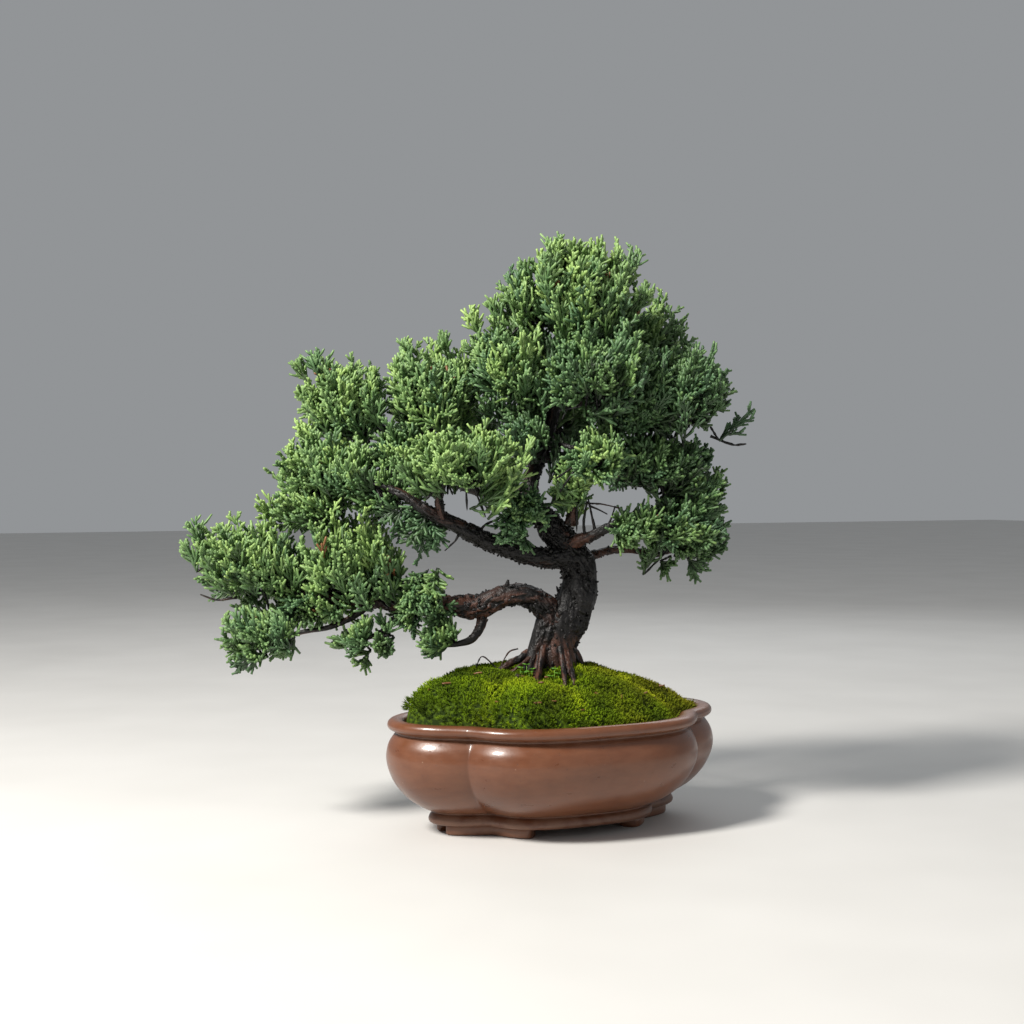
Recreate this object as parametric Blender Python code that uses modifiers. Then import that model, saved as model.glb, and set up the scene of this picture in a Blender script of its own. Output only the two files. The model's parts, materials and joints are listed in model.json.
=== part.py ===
"""A small juniper bonsai in a four-lobed stoneware pot.

Run with: blender --background --python part.py
Metres, +Z up. The pot's long side lies along X and its front faces -Y.
The tree is laid out in its own frame, turned to face its viewing side.
"""

import math

import bmesh
import bpy
from mathutils import Vector

MM = 0.001

# ---- driving dimensions, millimetres ---------------------------------------
POT_HALF_LENGTH = 75.0
POT_HALF_WIDTH = 52.0
FRONT_LOBE_HALF = 56.5
END_LOBE_HALF = 37.0
FRONT_FULLNESS = 2.9
END_FULLNESS = 2.2
RIM_TOP = 47.6
FLOOR_UNDERSIDE = 4.0
FLOOR_TOP = 9.0
FOOT_BURY = 0.8
FOOT_OUTER_INSET = 20.4
FOOT_INNER_INSET = 28.5
FOOT_START = math.radians(4.0)
FOOT_END = math.radians(47.0)
FOOT_STEPS = 8
DRAIN_HOLE_DIAMETER = 10.0
DRAIN_HOLE_REACH = 24.0
SCREEN_SIDE = 14.0
SCREEN_CELLS = 7
SCREEN_THICKNESS = 0.8
CLIP_WIRE_RADIUS = 0.5
CLIP_LEG_REACH = 4.0
DRAINAGE_TOP = 15.0
SOIL_EDGE = 40.0
SOIL_CREST = 61.0
MOSS_EDGE = 43.6
MOSS_CREST = 67.0
GAP = 0.3
PAD_GAP = 0.5
TREE_TURN = math.radians(-26.2)

END_STEPS = 8
FRONT_STEPS = 14

# The pot's wall: inset from the widest outline, height, softness of the lobes' seam.
OUTER_WALL = (
    (20.4, 4.0, 3.0),
    (18.2, 4.6, 3.0),
    (17.5, 6.2, 3.0),
    (18.4, 8.2, 3.0),
    (19.6, 9.2, 2.0),
    (15.6, 10.6, 1.0),
    (9.6, 14.4, 0.3),
    (4.3, 20.0, 0.2),
    (1.0, 26.4, 0.2),
    (0.0, 32.0, 0.2),
    (0.9, 37.0, 0.3),
    (3.0, 40.6, 1.0),
    (4.4, 42.0, 2.0),
    (2.6, 42.8, 3.0),
    (0.9, 44.0, 3.0),
    (0.7, 45.8, 3.0),
    (1.8, 47.2, 3.0),
    (3.2, RIM_TOP, 3.0),
)
INNER_WALL = (
    (6.0, 47.2, 3.0),
    (7.4, 45.8, 3.0),
    (8.0, 42.6, 3.0),
    (5.4, 37.4, 2.0),
    (4.4, 32.0, 2.0),
    (6.0, 25.0, 2.0),
    (10.4, 18.0, 2.5),
    (15.6, 13.0, 3.0),
    (21.0, 9.8, 3.0),
    (23.4, FLOOR_TOP, 3.0),
)

# ---- the wood: points are across, away and up, then the radius, all in mm ---
TRUNK = (
    (-0.7, 0.0, 50.0, 8.6),
    (-0.7, 0.0, 58.0, 9.4),
    (-0.5, 0.0, 66.0, 9.2),
    (0.0, 0.0, 74.0, 9.0),
    (2.3, 0.0, 81.5, 9.0),
    (6.5, 0.0, 89.3, 8.7),
    (9.5, 0.0, 96.2, 7.8),
    (10.4, 0.0, 103.0, 6.8),
    (9.5, 0.0, 109.0, 7.1),
    (6.5, 0.0, 114.8, 7.0),
    (2.3, 0.0, 120.8, 6.3),
    (-2.8, 0.0, 127.0, 5.2),
    (-7.5, 0.0, 133.0, 4.0),
    (-10.3, 1.0, 139.0, 3.6),
    (-9.6, 3.0, 146.2, 3.2),
    (-5.7, 5.0, 156.0, 2.9),
    (-2.3, 6.0, 166.7, 2.6),
    (0.7, 6.0, 178.3, 2.3),
    (4.1, 6.0, 189.0, 2.0),
    (4.1, 5.0, 201.0, 1.7),
    (1.5, 4.0, 214.3, 1.3),
    (0.5, 3.0, 227.0, 0.9),
    (0.8, 3.0, 237.0, 0.5),
)
ROOTS = {
    "front": ((-3.6, -5.0, 76.0, 2.6), (-6.0, -9.0, 70.0, 2.0), (-7.6, -13.0, 65.0, 1.8), (-8.6, -17.0, 56.0, 1.3)),
    "front_right": ((1.6, -5.0, 77.0, 2.4), (3.8, -9.0, 70.5, 2.0), (6.0, -12.5, 65.0, 1.8), (7.6, -15.5, 56.0, 1.3)),
    "left": ((-6.0, -3.0, 75.0, 2.4), (-13.0, -6.0, 71.0, 1.7), (-20.5, -8.5, 67.4, 1.4), (-28.0, -11.0, 62.0, 0.9)),
    "left_buttress": (
        (1.0, -3.0, 90.0, 4.6),
        (-3.0, -4.5, 83.0, 4.8),
        (-6.5, -5.5, 76.0, 4.0),
        (-9.5, -7.0, 69.0, 3.0),
        (-12.0, -8.5, 60.0, 2.2),
    ),
    "back": ((0.0, 6.0, 76.0, 2.8), (2.0, 12.0, 69.0, 2.2), (4.0, 18.0, 61.0, 1.8), (5.0, 21.0, 54.0, 1.2)),
    "right": ((6.0, 2.0, 74.0, 2.6), (10.5, 4.0, 67.0, 2.0), (14.5, 5.5, 60.0, 1.6), (17.0, 6.5, 53.0, 1.1)),
}
LIMBS = {
    "low_left_limb": (
        (0.5, -2.0, 86.0, 5.2),
        (-2.9, -4.0, 90.2, 5.0),
        (-7.2, -6.0, 94.6, 4.7),
        (-13.1, -8.0, 97.0, 4.5),
        (-19.8, -9.0, 96.9, 4.3),
        (-26.1, -9.0, 94.8, 4.6),
        (-31.5, -8.0, 92.6, 4.7),
        (-37.4, -8.0, 92.2, 4.4),
        (-42.8, -9.0, 92.8, 3.9),
        (-52.4, -10.0, 92.6, 3.2),
        (-65.0, -12.0, 93.2, 2.7),
        (-78.0, -13.0, 94.5, 2.3),
        (-92.0, -14.0, 95.8, 1.9),
        (-105.4, -15.0, 97.6, 1.5),
        (-119.6, -14.0, 101.7, 1.1),
        (-132.0, -12.0, 107.8, 0.7),
    ),
    "hanging_twig": (
        (-30.4, -8.0, 92.0, 2.2),
        (-30.8, -8.2, 86.0, 2.0),
        (-32.4, -10.0, 82.1, 1.8),
        (-35.6, -12.0, 78.5, 1.6),
        (-40.6, -13.0, 77.0, 1.2),
        (-46.0, -14.0, 76.6, 0.9),
    ),
    "low_left_fork": (
        (-75.0, -12.8, 95.0, 1.6),
        (-84.6, -15.0, 88.4, 1.3),
        (-93.5, -17.0, 84.4, 1.15),
        (-102.5, -18.0, 82.9, 1.0),
        (-112.5, -18.0, 80.5, 0.8),
        (-121.0, -17.5, 76.0, 0.6),
    ),
    "left_hanging_twig": (
        (-62.0, -11.6, 93.6, 1.4),
        (-67.0, -14.0, 87.5, 1.2),
        (-73.0, -15.6, 82.0, 1.0),
        (-80.0, -16.5, 79.0, 0.7),
    ),
    "mid_left_limb": (
        (7.0, -1.0, 113.0, 4.6),
        (-2.1, -4.0, 112.6, 4.3),
        (-10.5, -6.0, 113.8, 4.1),
        (-18.9, -8.0, 116.0, 3.9),
        (-26.9, -10.0, 119.0, 3.7),
        (-34.3, -13.0, 122.6, 3.5),
        (-41.7, -16.0, 126.9, 3.1),
        (-48.6, -19.0, 130.1, 2.8),
        (-55.0, -21.0, 134.0, 2.2),
        (-63.0, -20.0, 139.2, 1.7),
        (-74.0, -16.0, 144.0, 1.3),
        (-87.0, -8.0, 147.0, 1.0),
        (-99.0, -2.0, 149.0, 0.6),
    ),
    "front_twig": (
        (-47.5, -18.8, 129.8, 2.0),
        (-48.0, -23.0, 138.0, 1.6),
        (-45.0, -27.0, 146.0, 1.2),
        (-38.0, -29.0, 152.5, 0.8),
    ),
    "upper_left_limb": (
        (-9.5, 1.0, 136.5, 3.4),
        (-17.2, 6.0, 140.4, 3.1),
        (-25.4, 9.0, 141.3, 2.8),
        (-33.6, 12.0, 141.4, 2.6),
        (-42.8, 14.0, 145.0, 2.3),
        (-53.7, 15.0, 152.3, 2.0),
        (-65.9, 16.0, 161.4, 1.7),
        (-78.1, 17.0, 171.0, 1.3),
        (-92.0, 17.0, 179.0, 0.8),
    ),
    "upper_left_fork": (
        (-50.0, 14.6, 149.4, 1.6),
        (-52.5, 14.6, 160.0, 1.4),
        (-53.5, 14.6, 171.0, 1.1),
        (-53.0, 14.6, 182.0, 0.7),
    ),
    "right_lower_limb": (
        (10.0, 2.0, 111.5, 2.3),
        (17.0, 6.5, 113.4, 2.0),
        (25.9, 11.0, 115.2, 1.6),
        (32.2, 14.0, 115.2, 1.5),
        (38.4, 16.0, 114.1, 1.35),
        (46.0, 18.0, 113.2, 1.2),
        (58.0, 20.0, 116.0, 0.8),
    ),
    "right_upper_limb": (
        (3.6, -2.0, 117.0, 3.0),
        (9.7, -6.0, 119.8, 2.7),
        (14.6, -8.0, 121.4, 2.3),
        (19.5, -10.0, 124.0, 2.0),
        (25.3, -11.0, 127.0, 1.7),
        (31.9, -12.0, 129.9, 1.5),
        (41.5, -10.0, 131.0, 1.2),
        (54.0, -4.0, 131.0, 0.8),
    ),
    "crown_right_limb": (
        (0.4, 6.0, 177.0, 2.2),
        (10.0, 5.0, 178.4, 1.9),
        (21.4, 3.0, 179.4, 1.7),
        (34.1, 2.0, 180.4, 1.4),
        (47.0, 2.0, 180.8, 1.1),
        (60.0, 2.0, 180.4, 0.7),
    ),
    "crown_left_twig": (
        (1.6, 6.0, 181.6, 1.8),
        (-6.0, 6.0, 187.0, 1.5),
        (-14.0, 5.2, 191.6, 1.2),
        (-23.0, 4.6, 197.0, 0.8),
    ),
    "crown_front_twig": (
        (2.4, 5.6, 184.0, 1.6),
        (5.0, -3.0, 185.4, 1.4),
        (9.0, -11.0, 187.6, 1.1),
        (14.0, -21.0, 190.0, 0.7),
    ),
    "crown_low_limb": (
        (-6.0, 4.8, 155.0, 2.2),
        (6.0, 5.0, 155.6, 1.9),
        (18.0, 4.0, 155.4, 1.6),
        (30.0, 2.0, 155.2, 1.2),
        (42.0, 1.0, 155.2, 0.8),
    ),
    "pale_twig": (
        (-4.6, 4.6, 158.6, 1.4),
        (1.0, -4.0, 160.0, 1.2),
        (8.0, -12.0, 158.5, 1.0),
        (17.0, -19.0, 154.5, 0.7),
    ),
    "back_limb": (
        (-9.4, 3.2, 147.0, 2.6),
        (-8.0, 13.0, 151.0, 2.3),
        (-3.0, 24.0, 160.0, 1.9),
        (1.0, 34.0, 170.0, 1.5),
        (3.0, 44.0, 180.0, 1.0),
    ),
    "back_left_limb": (
        (-7.6, 14.6, 152.0, 1.8),
        (-15.0, 23.0, 156.0, 1.5),
        (-23.0, 31.0, 161.0, 1.2),
        (-35.0, 41.0, 164.0, 0.8),
    ),
    "back_right_limb": (
        (3.0, 6.2, 186.0, 1.9),
        (12.0, 15.0, 191.0, 1.6),
        (24.0, 26.0, 197.0, 1.2),
        (37.0, 36.0, 203.0, 0.8),
    ),
}
# The wood that each limb grows from, and so is cut back to.
GROWS_FROM = {
    "hanging_twig": "low_left_limb",
    "low_left_fork": "low_left_limb",
    "left_hanging_twig": "low_left_limb",
    "front_twig": "mid_left_limb",
    "upper_left_fork": "upper_left_limb",
    "back_left_limb": "back_limb",
}
TWIG_RADIUS = 2.3

# Foliage: middle across, away, up; half sizes across, away, up; finer mesh.
FOLIAGE = {
    "far_left": ((-129.0, -12.0, 112.5), (25.0, 21.0, 20.0), True),
    "lower_left_tip": ((-124.0, -18.0, 81.0), (17.5, 16.0, 14.0), False),
    "left_middle": ((-87.0, -13.0, 112.0), (23.5, 22.0, 25.0), True),
    "left_rise": ((-107.0, -8.0, 131.0), (15.0, 15.0, 12.0), False),
    "left_under": ((-104.0, -16.0, 91.0), (18.0, 13.0, 9.0), False),
    "left_inner": ((-55.5, -12.0, 91.5), (11.5, 17.0, 14.5), True),
    "inner_hanging": ((-49.0, -14.0, 79.5), (9.5, 9.0, 9.0), False),
    "left_hanging": ((-79.0, -17.0, 78.0), (12.5, 12.0, 9.5), False),
    "left_drooping": ((-58.0, -14.0, 119.0), (12.0, 10.0, 16.0), False),
    "left_shoulder": ((-93.0, 15.0, 180.0), (22.0, 21.0, 21.0), True),
    "left_shelf": ((-96.0, -1.0, 149.0), (24.0, 22.0, 17.5), True),
    "shelf_under": ((-76.0, -8.0, 134.0), (13.0, 12.0, 9.0), False),
    "shelf_bridge": ((-68.0, -2.0, 155.0), (14.0, 15.0, 16.0), False),
    "upper_left": ((-53.0, 13.0, 184.0), (24.0, 22.0, 24.0), True),
    "front_cluster": ((-38.0, -29.0, 153.5), (29.0, 16.0, 17.0), True),
    "crown_top": ((12.0, 3.0, 226.0), (27.5, 27.0, 22.3), True),
    "crown_left": ((-20.0, 2.0, 193.0), (20.0, 24.0, 25.0), True),
    "crown_rise": ((-14.0, 1.0, 222.0), (11.5, 14.0, 13.0), False),
    "crown_inner": ((-13.0, -9.0, 165.0), (11.0, 11.0, 12.0), False),
    "crown_front": ((21.0, -22.0, 191.0), (26.0, 18.0, 20.0), True),
    "crown_right": ((54.0, 2.0, 182.0), (22.5, 26.0, 23.0), True),
    "crown_gap": ((31.0, -8.0, 171.5), (13.0, 13.0, 10.5), False),
    "crown_right_low": ((47.0, 3.0, 152.5), (25.5, 21.0, 14.0), True),
    "right_edge": ((65.0, 4.0, 144.5), (10.5, 14.0, 10.0), False),
    "right_low": ((58.0, 7.0, 124.0), (20.0, 24.0, 20.0), True),
    "right_inner": ((33.0, -13.0, 124.0), (10.0, 11.0, 9.5), False),
    "trunk_tuft": ((7.5, -9.0, 142.0), (9.5, 8.5, 13.0), False),
    "centre_hanging": ((-14.0, -20.0, 126.0), (14.0, 9.0, 10.5), False),
    "pale_spray": ((18.0, -23.0, 153.0), (13.0, 11.0, 12.0), False),
    "back_low": ((3.0, 47.0, 181.0), (27.0, 19.0, 25.0), True),
    "back_right": ((41.0, 39.0, 209.0), (23.0, 21.0, 22.0), True),
    "back_left": ((-40.0, 46.0, 165.0), (16.0, 15.0, 20.0), True),
}


def clear_scene():
    """Remove whatever the file opened with."""
    for obj in list(bpy.data.objects):
        bpy.data.objects.remove(obj, do_unlink=True)


def new_collection(name):
    """A collection under the scene's own."""
    found = bpy.data.collections.new(name)
    bpy.context.scene.collection.children.link(found)
    return found


def material(name, colour, roughness, metallic=0.0):
    """A Principled material of one colour."""
    made = bpy.data.materials.new(name)
    made.use_nodes = True
    shader = made.node_tree.nodes["Principled BSDF"]
    shader.inputs["Base Color"].default_value = (*colour, 1.0)
    shader.inputs["Roughness"].default_value = roughness
    shader.inputs["Metallic"].default_value = metallic
    made.diffuse_color = (*colour, 1.0)
    return made


def mesh_object(name, bm, home, finish=None, smooth=True):
    """Turn a bmesh into a linked object."""
    bmesh.ops.recalc_face_normals(bm, faces=bm.faces)
    mesh = bpy.data.meshes.new(name)
    bm.to_mesh(mesh)
    bm.free()
    for face in mesh.polygons:
        face.use_smooth = smooth
    obj = bpy.data.objects.new(name, mesh)
    home.objects.link(obj)
    if finish:
        mesh.materials.append(finish)
    return obj


def hide_cutter(obj):
    """A cutter takes part in Booleans only."""
    obj.hide_render = True
    obj.display_type = "WIRE"
    return obj


def boolean(target, other, operation="DIFFERENCE"):
    """Apply one exact Boolean to a mesh object."""
    modifier = target.modifiers.new("cut", "BOOLEAN")
    modifier.operation = operation
    modifier.solver = "EXACT"
    modifier.object = other
    apply_modifiers(target)


def apply_modifiers(obj):
    """Bake an object's modifiers into its mesh and weld what they left."""
    bpy.context.view_layer.update()
    depsgraph = bpy.context.evaluated_depsgraph_get()
    mesh = bpy.data.meshes.new_from_object(obj.evaluated_get(depsgraph))
    obj.modifiers.clear()
    old = obj.data
    obj.data = mesh
    bpy.data.meshes.remove(old)
    weld(obj, 0.004 * MM)


def weld(obj, distance):
    """Merge points that lie closer than a distance."""
    bm = bmesh.new()
    bm.from_mesh(obj.data)
    bmesh.ops.remove_doubles(bm, verts=bm.verts, dist=distance)
    bmesh.ops.dissolve_degenerate(bm, edges=bm.edges, dist=distance)
    bm.to_mesh(obj.data)
    bm.free()


# ---- the pot's four-lobed outline -------------------------------------------
def oval_radius(angle, half_x, half_y, fullness):
    """Distance to a superellipse in one direction."""
    across = abs(math.cos(angle) / half_x) ** fullness
    along = abs(math.sin(angle) / half_y) ** fullness
    return (across + along) ** (-1.0 / fullness)


def lobe_radii(angle, inset):
    """Distances to the long lobes and to the end lobes."""
    long_lobe = oval_radius(angle, FRONT_LOBE_HALF - inset, POT_HALF_WIDTH - inset, FRONT_FULLNESS)
    end_lobe = oval_radius(angle, POT_HALF_LENGTH - inset, END_LOBE_HALF - inset, END_FULLNESS)
    return long_lobe, end_lobe


def seam_angle(inset):
    """The angle at which an end lobe meets a long lobe."""
    low, high = 0.05, math.pi / 2 - 0.05
    for _ in range(40):
        middle = (low + high) / 2
        long_lobe, end_lobe = lobe_radii(middle, inset)
        if end_lobe > long_lobe:
            low = middle
        else:
            high = middle
    return (low + high) / 2


def lobe_angles(inset):
    """Angles round the outline, with points on all four seams."""
    seam = seam_angle(inset)
    spans = (
        (-seam, seam, END_STEPS),
        (seam, math.pi - seam, FRONT_STEPS),
        (math.pi - seam, math.pi + seam, END_STEPS),
        (math.pi + seam, 2 * math.pi - seam, FRONT_STEPS),
    )
    return [a + (b - a) * i / n for a, b, n in spans for i in range(n)]


def outline_radius(angle, inset, softness):
    """The union of the lobes, with its seams rounded by the softness."""
    long_lobe, end_lobe = lobe_radii(angle, inset)
    gap = abs(long_lobe - end_lobe)
    return max(long_lobe, end_lobe) + softness * math.log1p(math.exp(-gap / softness)) * 0.7


def outline(inset, height, softness):
    """One ring of the pot, as vectors in metres."""
    ring = []
    for angle in lobe_angles(inset):
        radius = outline_radius(angle, inset, softness)
        ring.append(Vector((radius * math.cos(angle), radius * math.sin(angle), height)) * MM)
    return ring


def loft(rings, first_tip=None, last_tip=None):
    """Skin a row of rings. A tip closes an end with a fan, or else a flat cap does."""
    bm = bmesh.new()
    rows = [[bm.verts.new(point) for point in ring] for ring in rings]
    count = len(rows[0])
    for low, high in zip(rows, rows[1:]):
        for i in range(count):
            j = (i + 1) % count
            bm.faces.new((low[i], low[j], high[j], high[i]))
    for row, tip in ((rows[0], first_tip), (rows[-1], last_tip)):
        if tip is None:
            bm.faces.new(row)
            continue
        middle = bm.verts.new(tip)
        for i in range(count):
            bm.faces.new((row[i], row[(i + 1) % count], middle))
    return bm


def bracket_foot(side_x, side_y, cutters):
    """A curved slab that follows the base round one of its corners."""
    outer, inner = [], []
    for i in range(FOOT_STEPS + 1):
        angle = FOOT_START + (FOOT_END - FOOT_START) * i / FOOT_STEPS
        for inset, row in ((FOOT_OUTER_INSET, outer), (FOOT_INNER_INSET, inner)):
            radius = outline_radius(angle, inset, 3.0)
            row.append((radius * math.cos(angle) * side_x, radius * math.sin(angle) * side_y))
    corners = outer + inner[::-1]
    rings = []
    for height in (0.0, FLOOR_UNDERSIDE + FOOT_BURY):
        rings.append([Vector((x, y, height)) * MM for x, y in corners])
    return hide_cutter(mesh_object("foot", loft(rings), cutters, smooth=False))


def build_pot(home, cutters, finish):
    """The pot: hollow, drained, on four feet, fired as one piece."""
    rings = [outline(*row) for row in OUTER_WALL + INNER_WALL]
    pot = mesh_object("pot", loft(rings), home, finish)
    for side_x in (-1, 1):
        for side_y in (-1, 1):
            boolean(pot, bracket_foot(side_x, side_y, cutters), "UNION")
        boolean(pot, drain_cutter(side_x, cutters))
    return pot


def drain_cutter(side, cutters):
    """A drill for one of the holes in the floor."""
    bm = bmesh.new()
    radius = DRAIN_HOLE_DIAMETER / 2 * MM
    bmesh.ops.create_cone(bm, cap_ends=True, segments=20, radius1=radius, radius2=radius, depth=12 * MM)
    drill = mesh_object("drill", bm, cutters, smooth=False)
    drill.location = Vector((side * DRAIN_HOLE_REACH, 0, (FLOOR_UNDERSIDE + FLOOR_TOP) / 2)) * MM
    return hide_cutter(drill)


def build_screen(name, side, home, finish):
    """A plastic mesh square over a drain hole."""
    bm = bmesh.new()
    bmesh.ops.create_grid(bm, x_segments=SCREEN_CELLS, y_segments=SCREEN_CELLS, size=SCREEN_SIDE / 2 * MM)
    pitch = SCREEN_SIDE / SCREEN_CELLS * MM
    holes = []
    for face in bm.faces:
        middle = face.calc_center_median()
        if all(round(axis / pitch) % 2 == 0 for axis in middle.xy):
            holes.append(face)
    edge = (SCREEN_CELLS // 2 - 0.5) * pitch
    holes = [face for face in holes if max(abs(axis) for axis in face.calc_center_median().xy) < edge]
    bmesh.ops.delete(bm, geom=holes, context="FACES")
    screen = mesh_object(name, bm, home, finish, smooth=False)
    screen.location = Vector((side * DRAIN_HOLE_REACH, 0, FLOOR_TOP + GAP)) * MM
    solid = screen.modifiers.new("thickness", "SOLIDIFY")
    solid.thickness = SCREEN_THICKNESS * MM
    solid.offset = 1.0
    apply_modifiers(screen)
    return screen


def tube(name, points, home, finish, sides=2, steps=2, grow=0.0, smooth=True):
    """A tapering rod through points given as across, away, up and radius in mm."""
    curve = bpy.data.curves.new(name, "CURVE")
    curve.dimensions = "3D"
    curve.bevel_depth = MM
    curve.bevel_resolution = sides
    curve.use_fill_caps = True
    curve.resolution_u = steps
    spline = curve.splines.new("BEZIER" if steps > 1 else "POLY")
    knots = spline.bezier_points if steps > 1 else spline.points
    knots.add(len(points) - 1)
    for knot, (x, y, z, radius) in zip(knots, points):
        place = Vector((x, y, z)) * MM
        knot.radius = radius + grow
        if steps > 1:
            knot.co = place
            knot.handle_left_type = "AUTO"
            knot.handle_right_type = "AUTO"
        else:
            knot.co = (*place, 1.0)
    rod = bpy.data.objects.new(name, curve)
    home.objects.link(rod)
    bpy.context.view_layer.update()
    mesh = bpy.data.meshes.new_from_object(rod.evaluated_get(bpy.context.evaluated_depsgraph_get()))
    bpy.data.objects.remove(rod)
    bpy.data.curves.remove(curve)
    bm = bmesh.new()
    bm.from_mesh(mesh)
    bpy.data.meshes.remove(mesh)
    bmesh.ops.remove_doubles(bm, verts=bm.verts, dist=0.004 * MM)
    return mesh_object(name, bm, home, finish, smooth)


def build_clip(name, side, home, finish):
    """A bent wire that holds a screen down over its hole."""
    top = FLOOR_TOP + GAP + SCREEN_THICKNESS + GAP + CLIP_WIRE_RADIUS
    under = FLOOR_UNDERSIDE - GAP - CLIP_WIRE_RADIUS
    leg, tail = CLIP_LEG_REACH, 8.5
    route = ((-tail, under), (-leg, under), (-leg, top), (leg, top), (leg, under), (tail, under))
    points = [(x, 0.0, z, CLIP_WIRE_RADIUS) for x, z in route]
    clip = tube(name, points, home, finish, sides=1, steps=1)
    clip.location.x = side * DRAIN_HOLE_REACH * MM
    return clip


def dome(height_edge, height_crest, reach):
    """Height of a mound at a share of the way out to its edge."""
    return height_edge + (height_crest - height_edge) * (1 - reach**2.6) ** 0.75


def mound_rings(inset, edge, crest, shares):
    """Rings of a mound, from its edge up to near its crest."""
    rings = []
    for share in shares:
        ring = outline(inset, 0.0, 3.0)
        height = dome(edge, crest, share) * MM
        rings.append([Vector((p.x * share, p.y * share, height)) for p in ring])
    return rings


def build_drainage(home, cutters, finish):
    """The coarse layer on the pot's floor."""
    inner = [row for row in reversed(INNER_WALL) if row[1] < DRAINAGE_TOP]
    rings = [outline(inset + GAP, max(height, FLOOR_TOP) + GAP, soft) for inset, height, soft in inner]
    rings.append(outline(13.8 + GAP, DRAINAGE_TOP, 3.0))
    layer = mesh_object("drainage_layer", loft(rings), home, finish)
    for side in (-1, 1):
        bm = bmesh.new()
        bmesh.ops.create_cube(bm, size=MM)
        pocket = mesh_object("pocket", bm, cutters, smooth=False)
        pocket.scale = (SCREEN_SIDE + 2 * GAP, SCREEN_SIDE + 2 * GAP, 6.0)
        pocket.location = Vector((side * DRAIN_HOLE_REACH, 0, FLOOR_TOP)) * MM
        boolean(layer, hide_cutter(pocket))
    return layer


def build_soil(home, finish):
    """The root-filled soil, heaped up under the moss."""
    inner = [row for row in reversed(INNER_WALL) if DRAINAGE_TOP < row[1] < SOIL_EDGE]
    rings = [outline(13.4 + GAP, DRAINAGE_TOP + GAP, 3.0)]
    rings += [outline(inset + GAP, height, soft) for inset, height, soft in inner]
    rings += mound_rings(8.0 + GAP, SOIL_EDGE, SOIL_CREST, (0.99, 0.9, 0.75, 0.55, 0.3))
    return mesh_object("soil", loft(rings, last_tip=Vector((0, 0, SOIL_CREST * MM))), home, finish)


def build_moss(home, finish):
    """The moss, a thick carpet over the soil."""
    shares = (0.3, 0.55, 0.75, 0.9, 0.99)
    under = mound_rings(8.0 + GAP, SOIL_EDGE + GAP, SOIL_CREST + GAP, shares)
    over = mound_rings(8.0 + GAP, MOSS_EDGE, MOSS_CREST, (1.0, 0.97, 0.9, 0.75, 0.55, 0.3))
    first = Vector((0, 0, (SOIL_CREST + GAP) * MM))
    last = Vector((0, 0, MOSS_CREST * MM))
    return mesh_object("moss", loft(under + over, first, last), home, finish)


def build_trunk(home, finish, grow=0.0):
    """The trunk and the roots that stand above the moss, grown as one."""
    trunk = tube("trunk", TRUNK, home, finish, grow=grow)
    for points in ROOTS.values():
        root = tube("root", points, home, finish, sides=1, grow=grow)
        boolean(trunk, root, "UNION")
        bpy.data.objects.remove(root)
    return trunk


def build_limb(name, home, finish, grow=0.0):
    """One limb, before it is cut back to the wood it grows from."""
    points = LIMBS[name]
    sides = 2 if points[0][3] > TWIG_RADIUS else 1
    return tube(name, points, home, finish, sides=sides, grow=grow)


def lump(direction, seed):
    """How far a foliage pad stands out in one direction, about 1."""
    x, y, z = direction
    wave = math.sin(4.1 * x + seed) * math.sin(3.7 * y + 1.7 * seed) + math.sin(4.6 * z + 2.3 * seed) * 0.6
    return 1.0 + 0.05 * wave


def build_foliage(name, seed, home, finish, grow=0.0):
    """One mass of foliage, as a lumpy pad."""
    middle, half_sizes, fine = FOLIAGE[name]
    bm = bmesh.new()
    if fine:
        bmesh.ops.create_uvsphere(bm, u_segments=12, v_segments=8, radius=1.0)
    else:
        bmesh.ops.create_icosphere(bm, subdivisions=2, radius=1.0)
    for vert in bm.verts:
        vert.co *= lump(vert.co, seed)
    bmesh.ops.scale(bm, vec=(Vector(half_sizes) + Vector((grow, grow, grow))) * MM, verts=bm.verts)
    pad = mesh_object("foliage_" + name, bm, home, finish)
    pad.location = Vector(middle) * MM
    return pad


def pads_meet(first, second):
    """Whether two foliage pads may touch."""
    middle_a, half_a, _ = FOLIAGE[first]
    middle_b, half_b, _ = FOLIAGE[second]
    return all(abs(a - b) < 1.1 * (u + v) for a, b, u, v in zip(middle_a, middle_b, half_a, half_b))


def near(points, pad_name, reach=1.35):
    """Whether any stretch of wood passes close to a pad."""
    middle, half_sizes, _ = FOLIAGE[pad_name]
    for point in points:
        away = sum(((p - m) / h) ** 2 for p, m, h in zip(point, middle, half_sizes))
        if away < reach**2:
            return True
    return False


def centre_on_floor(parts, frame):
    """Move the frame so that the whole plant stands centred on the origin."""
    bpy.context.view_layer.update()
    points = [part.matrix_world @ vert.co for part in parts for vert in part.data.vertices]
    for axis in (0, 1):
        values = [point[axis] for point in points]
        frame.location[axis] = -(min(values) + max(values)) / 2
    bpy.context.view_layer.update()


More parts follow.
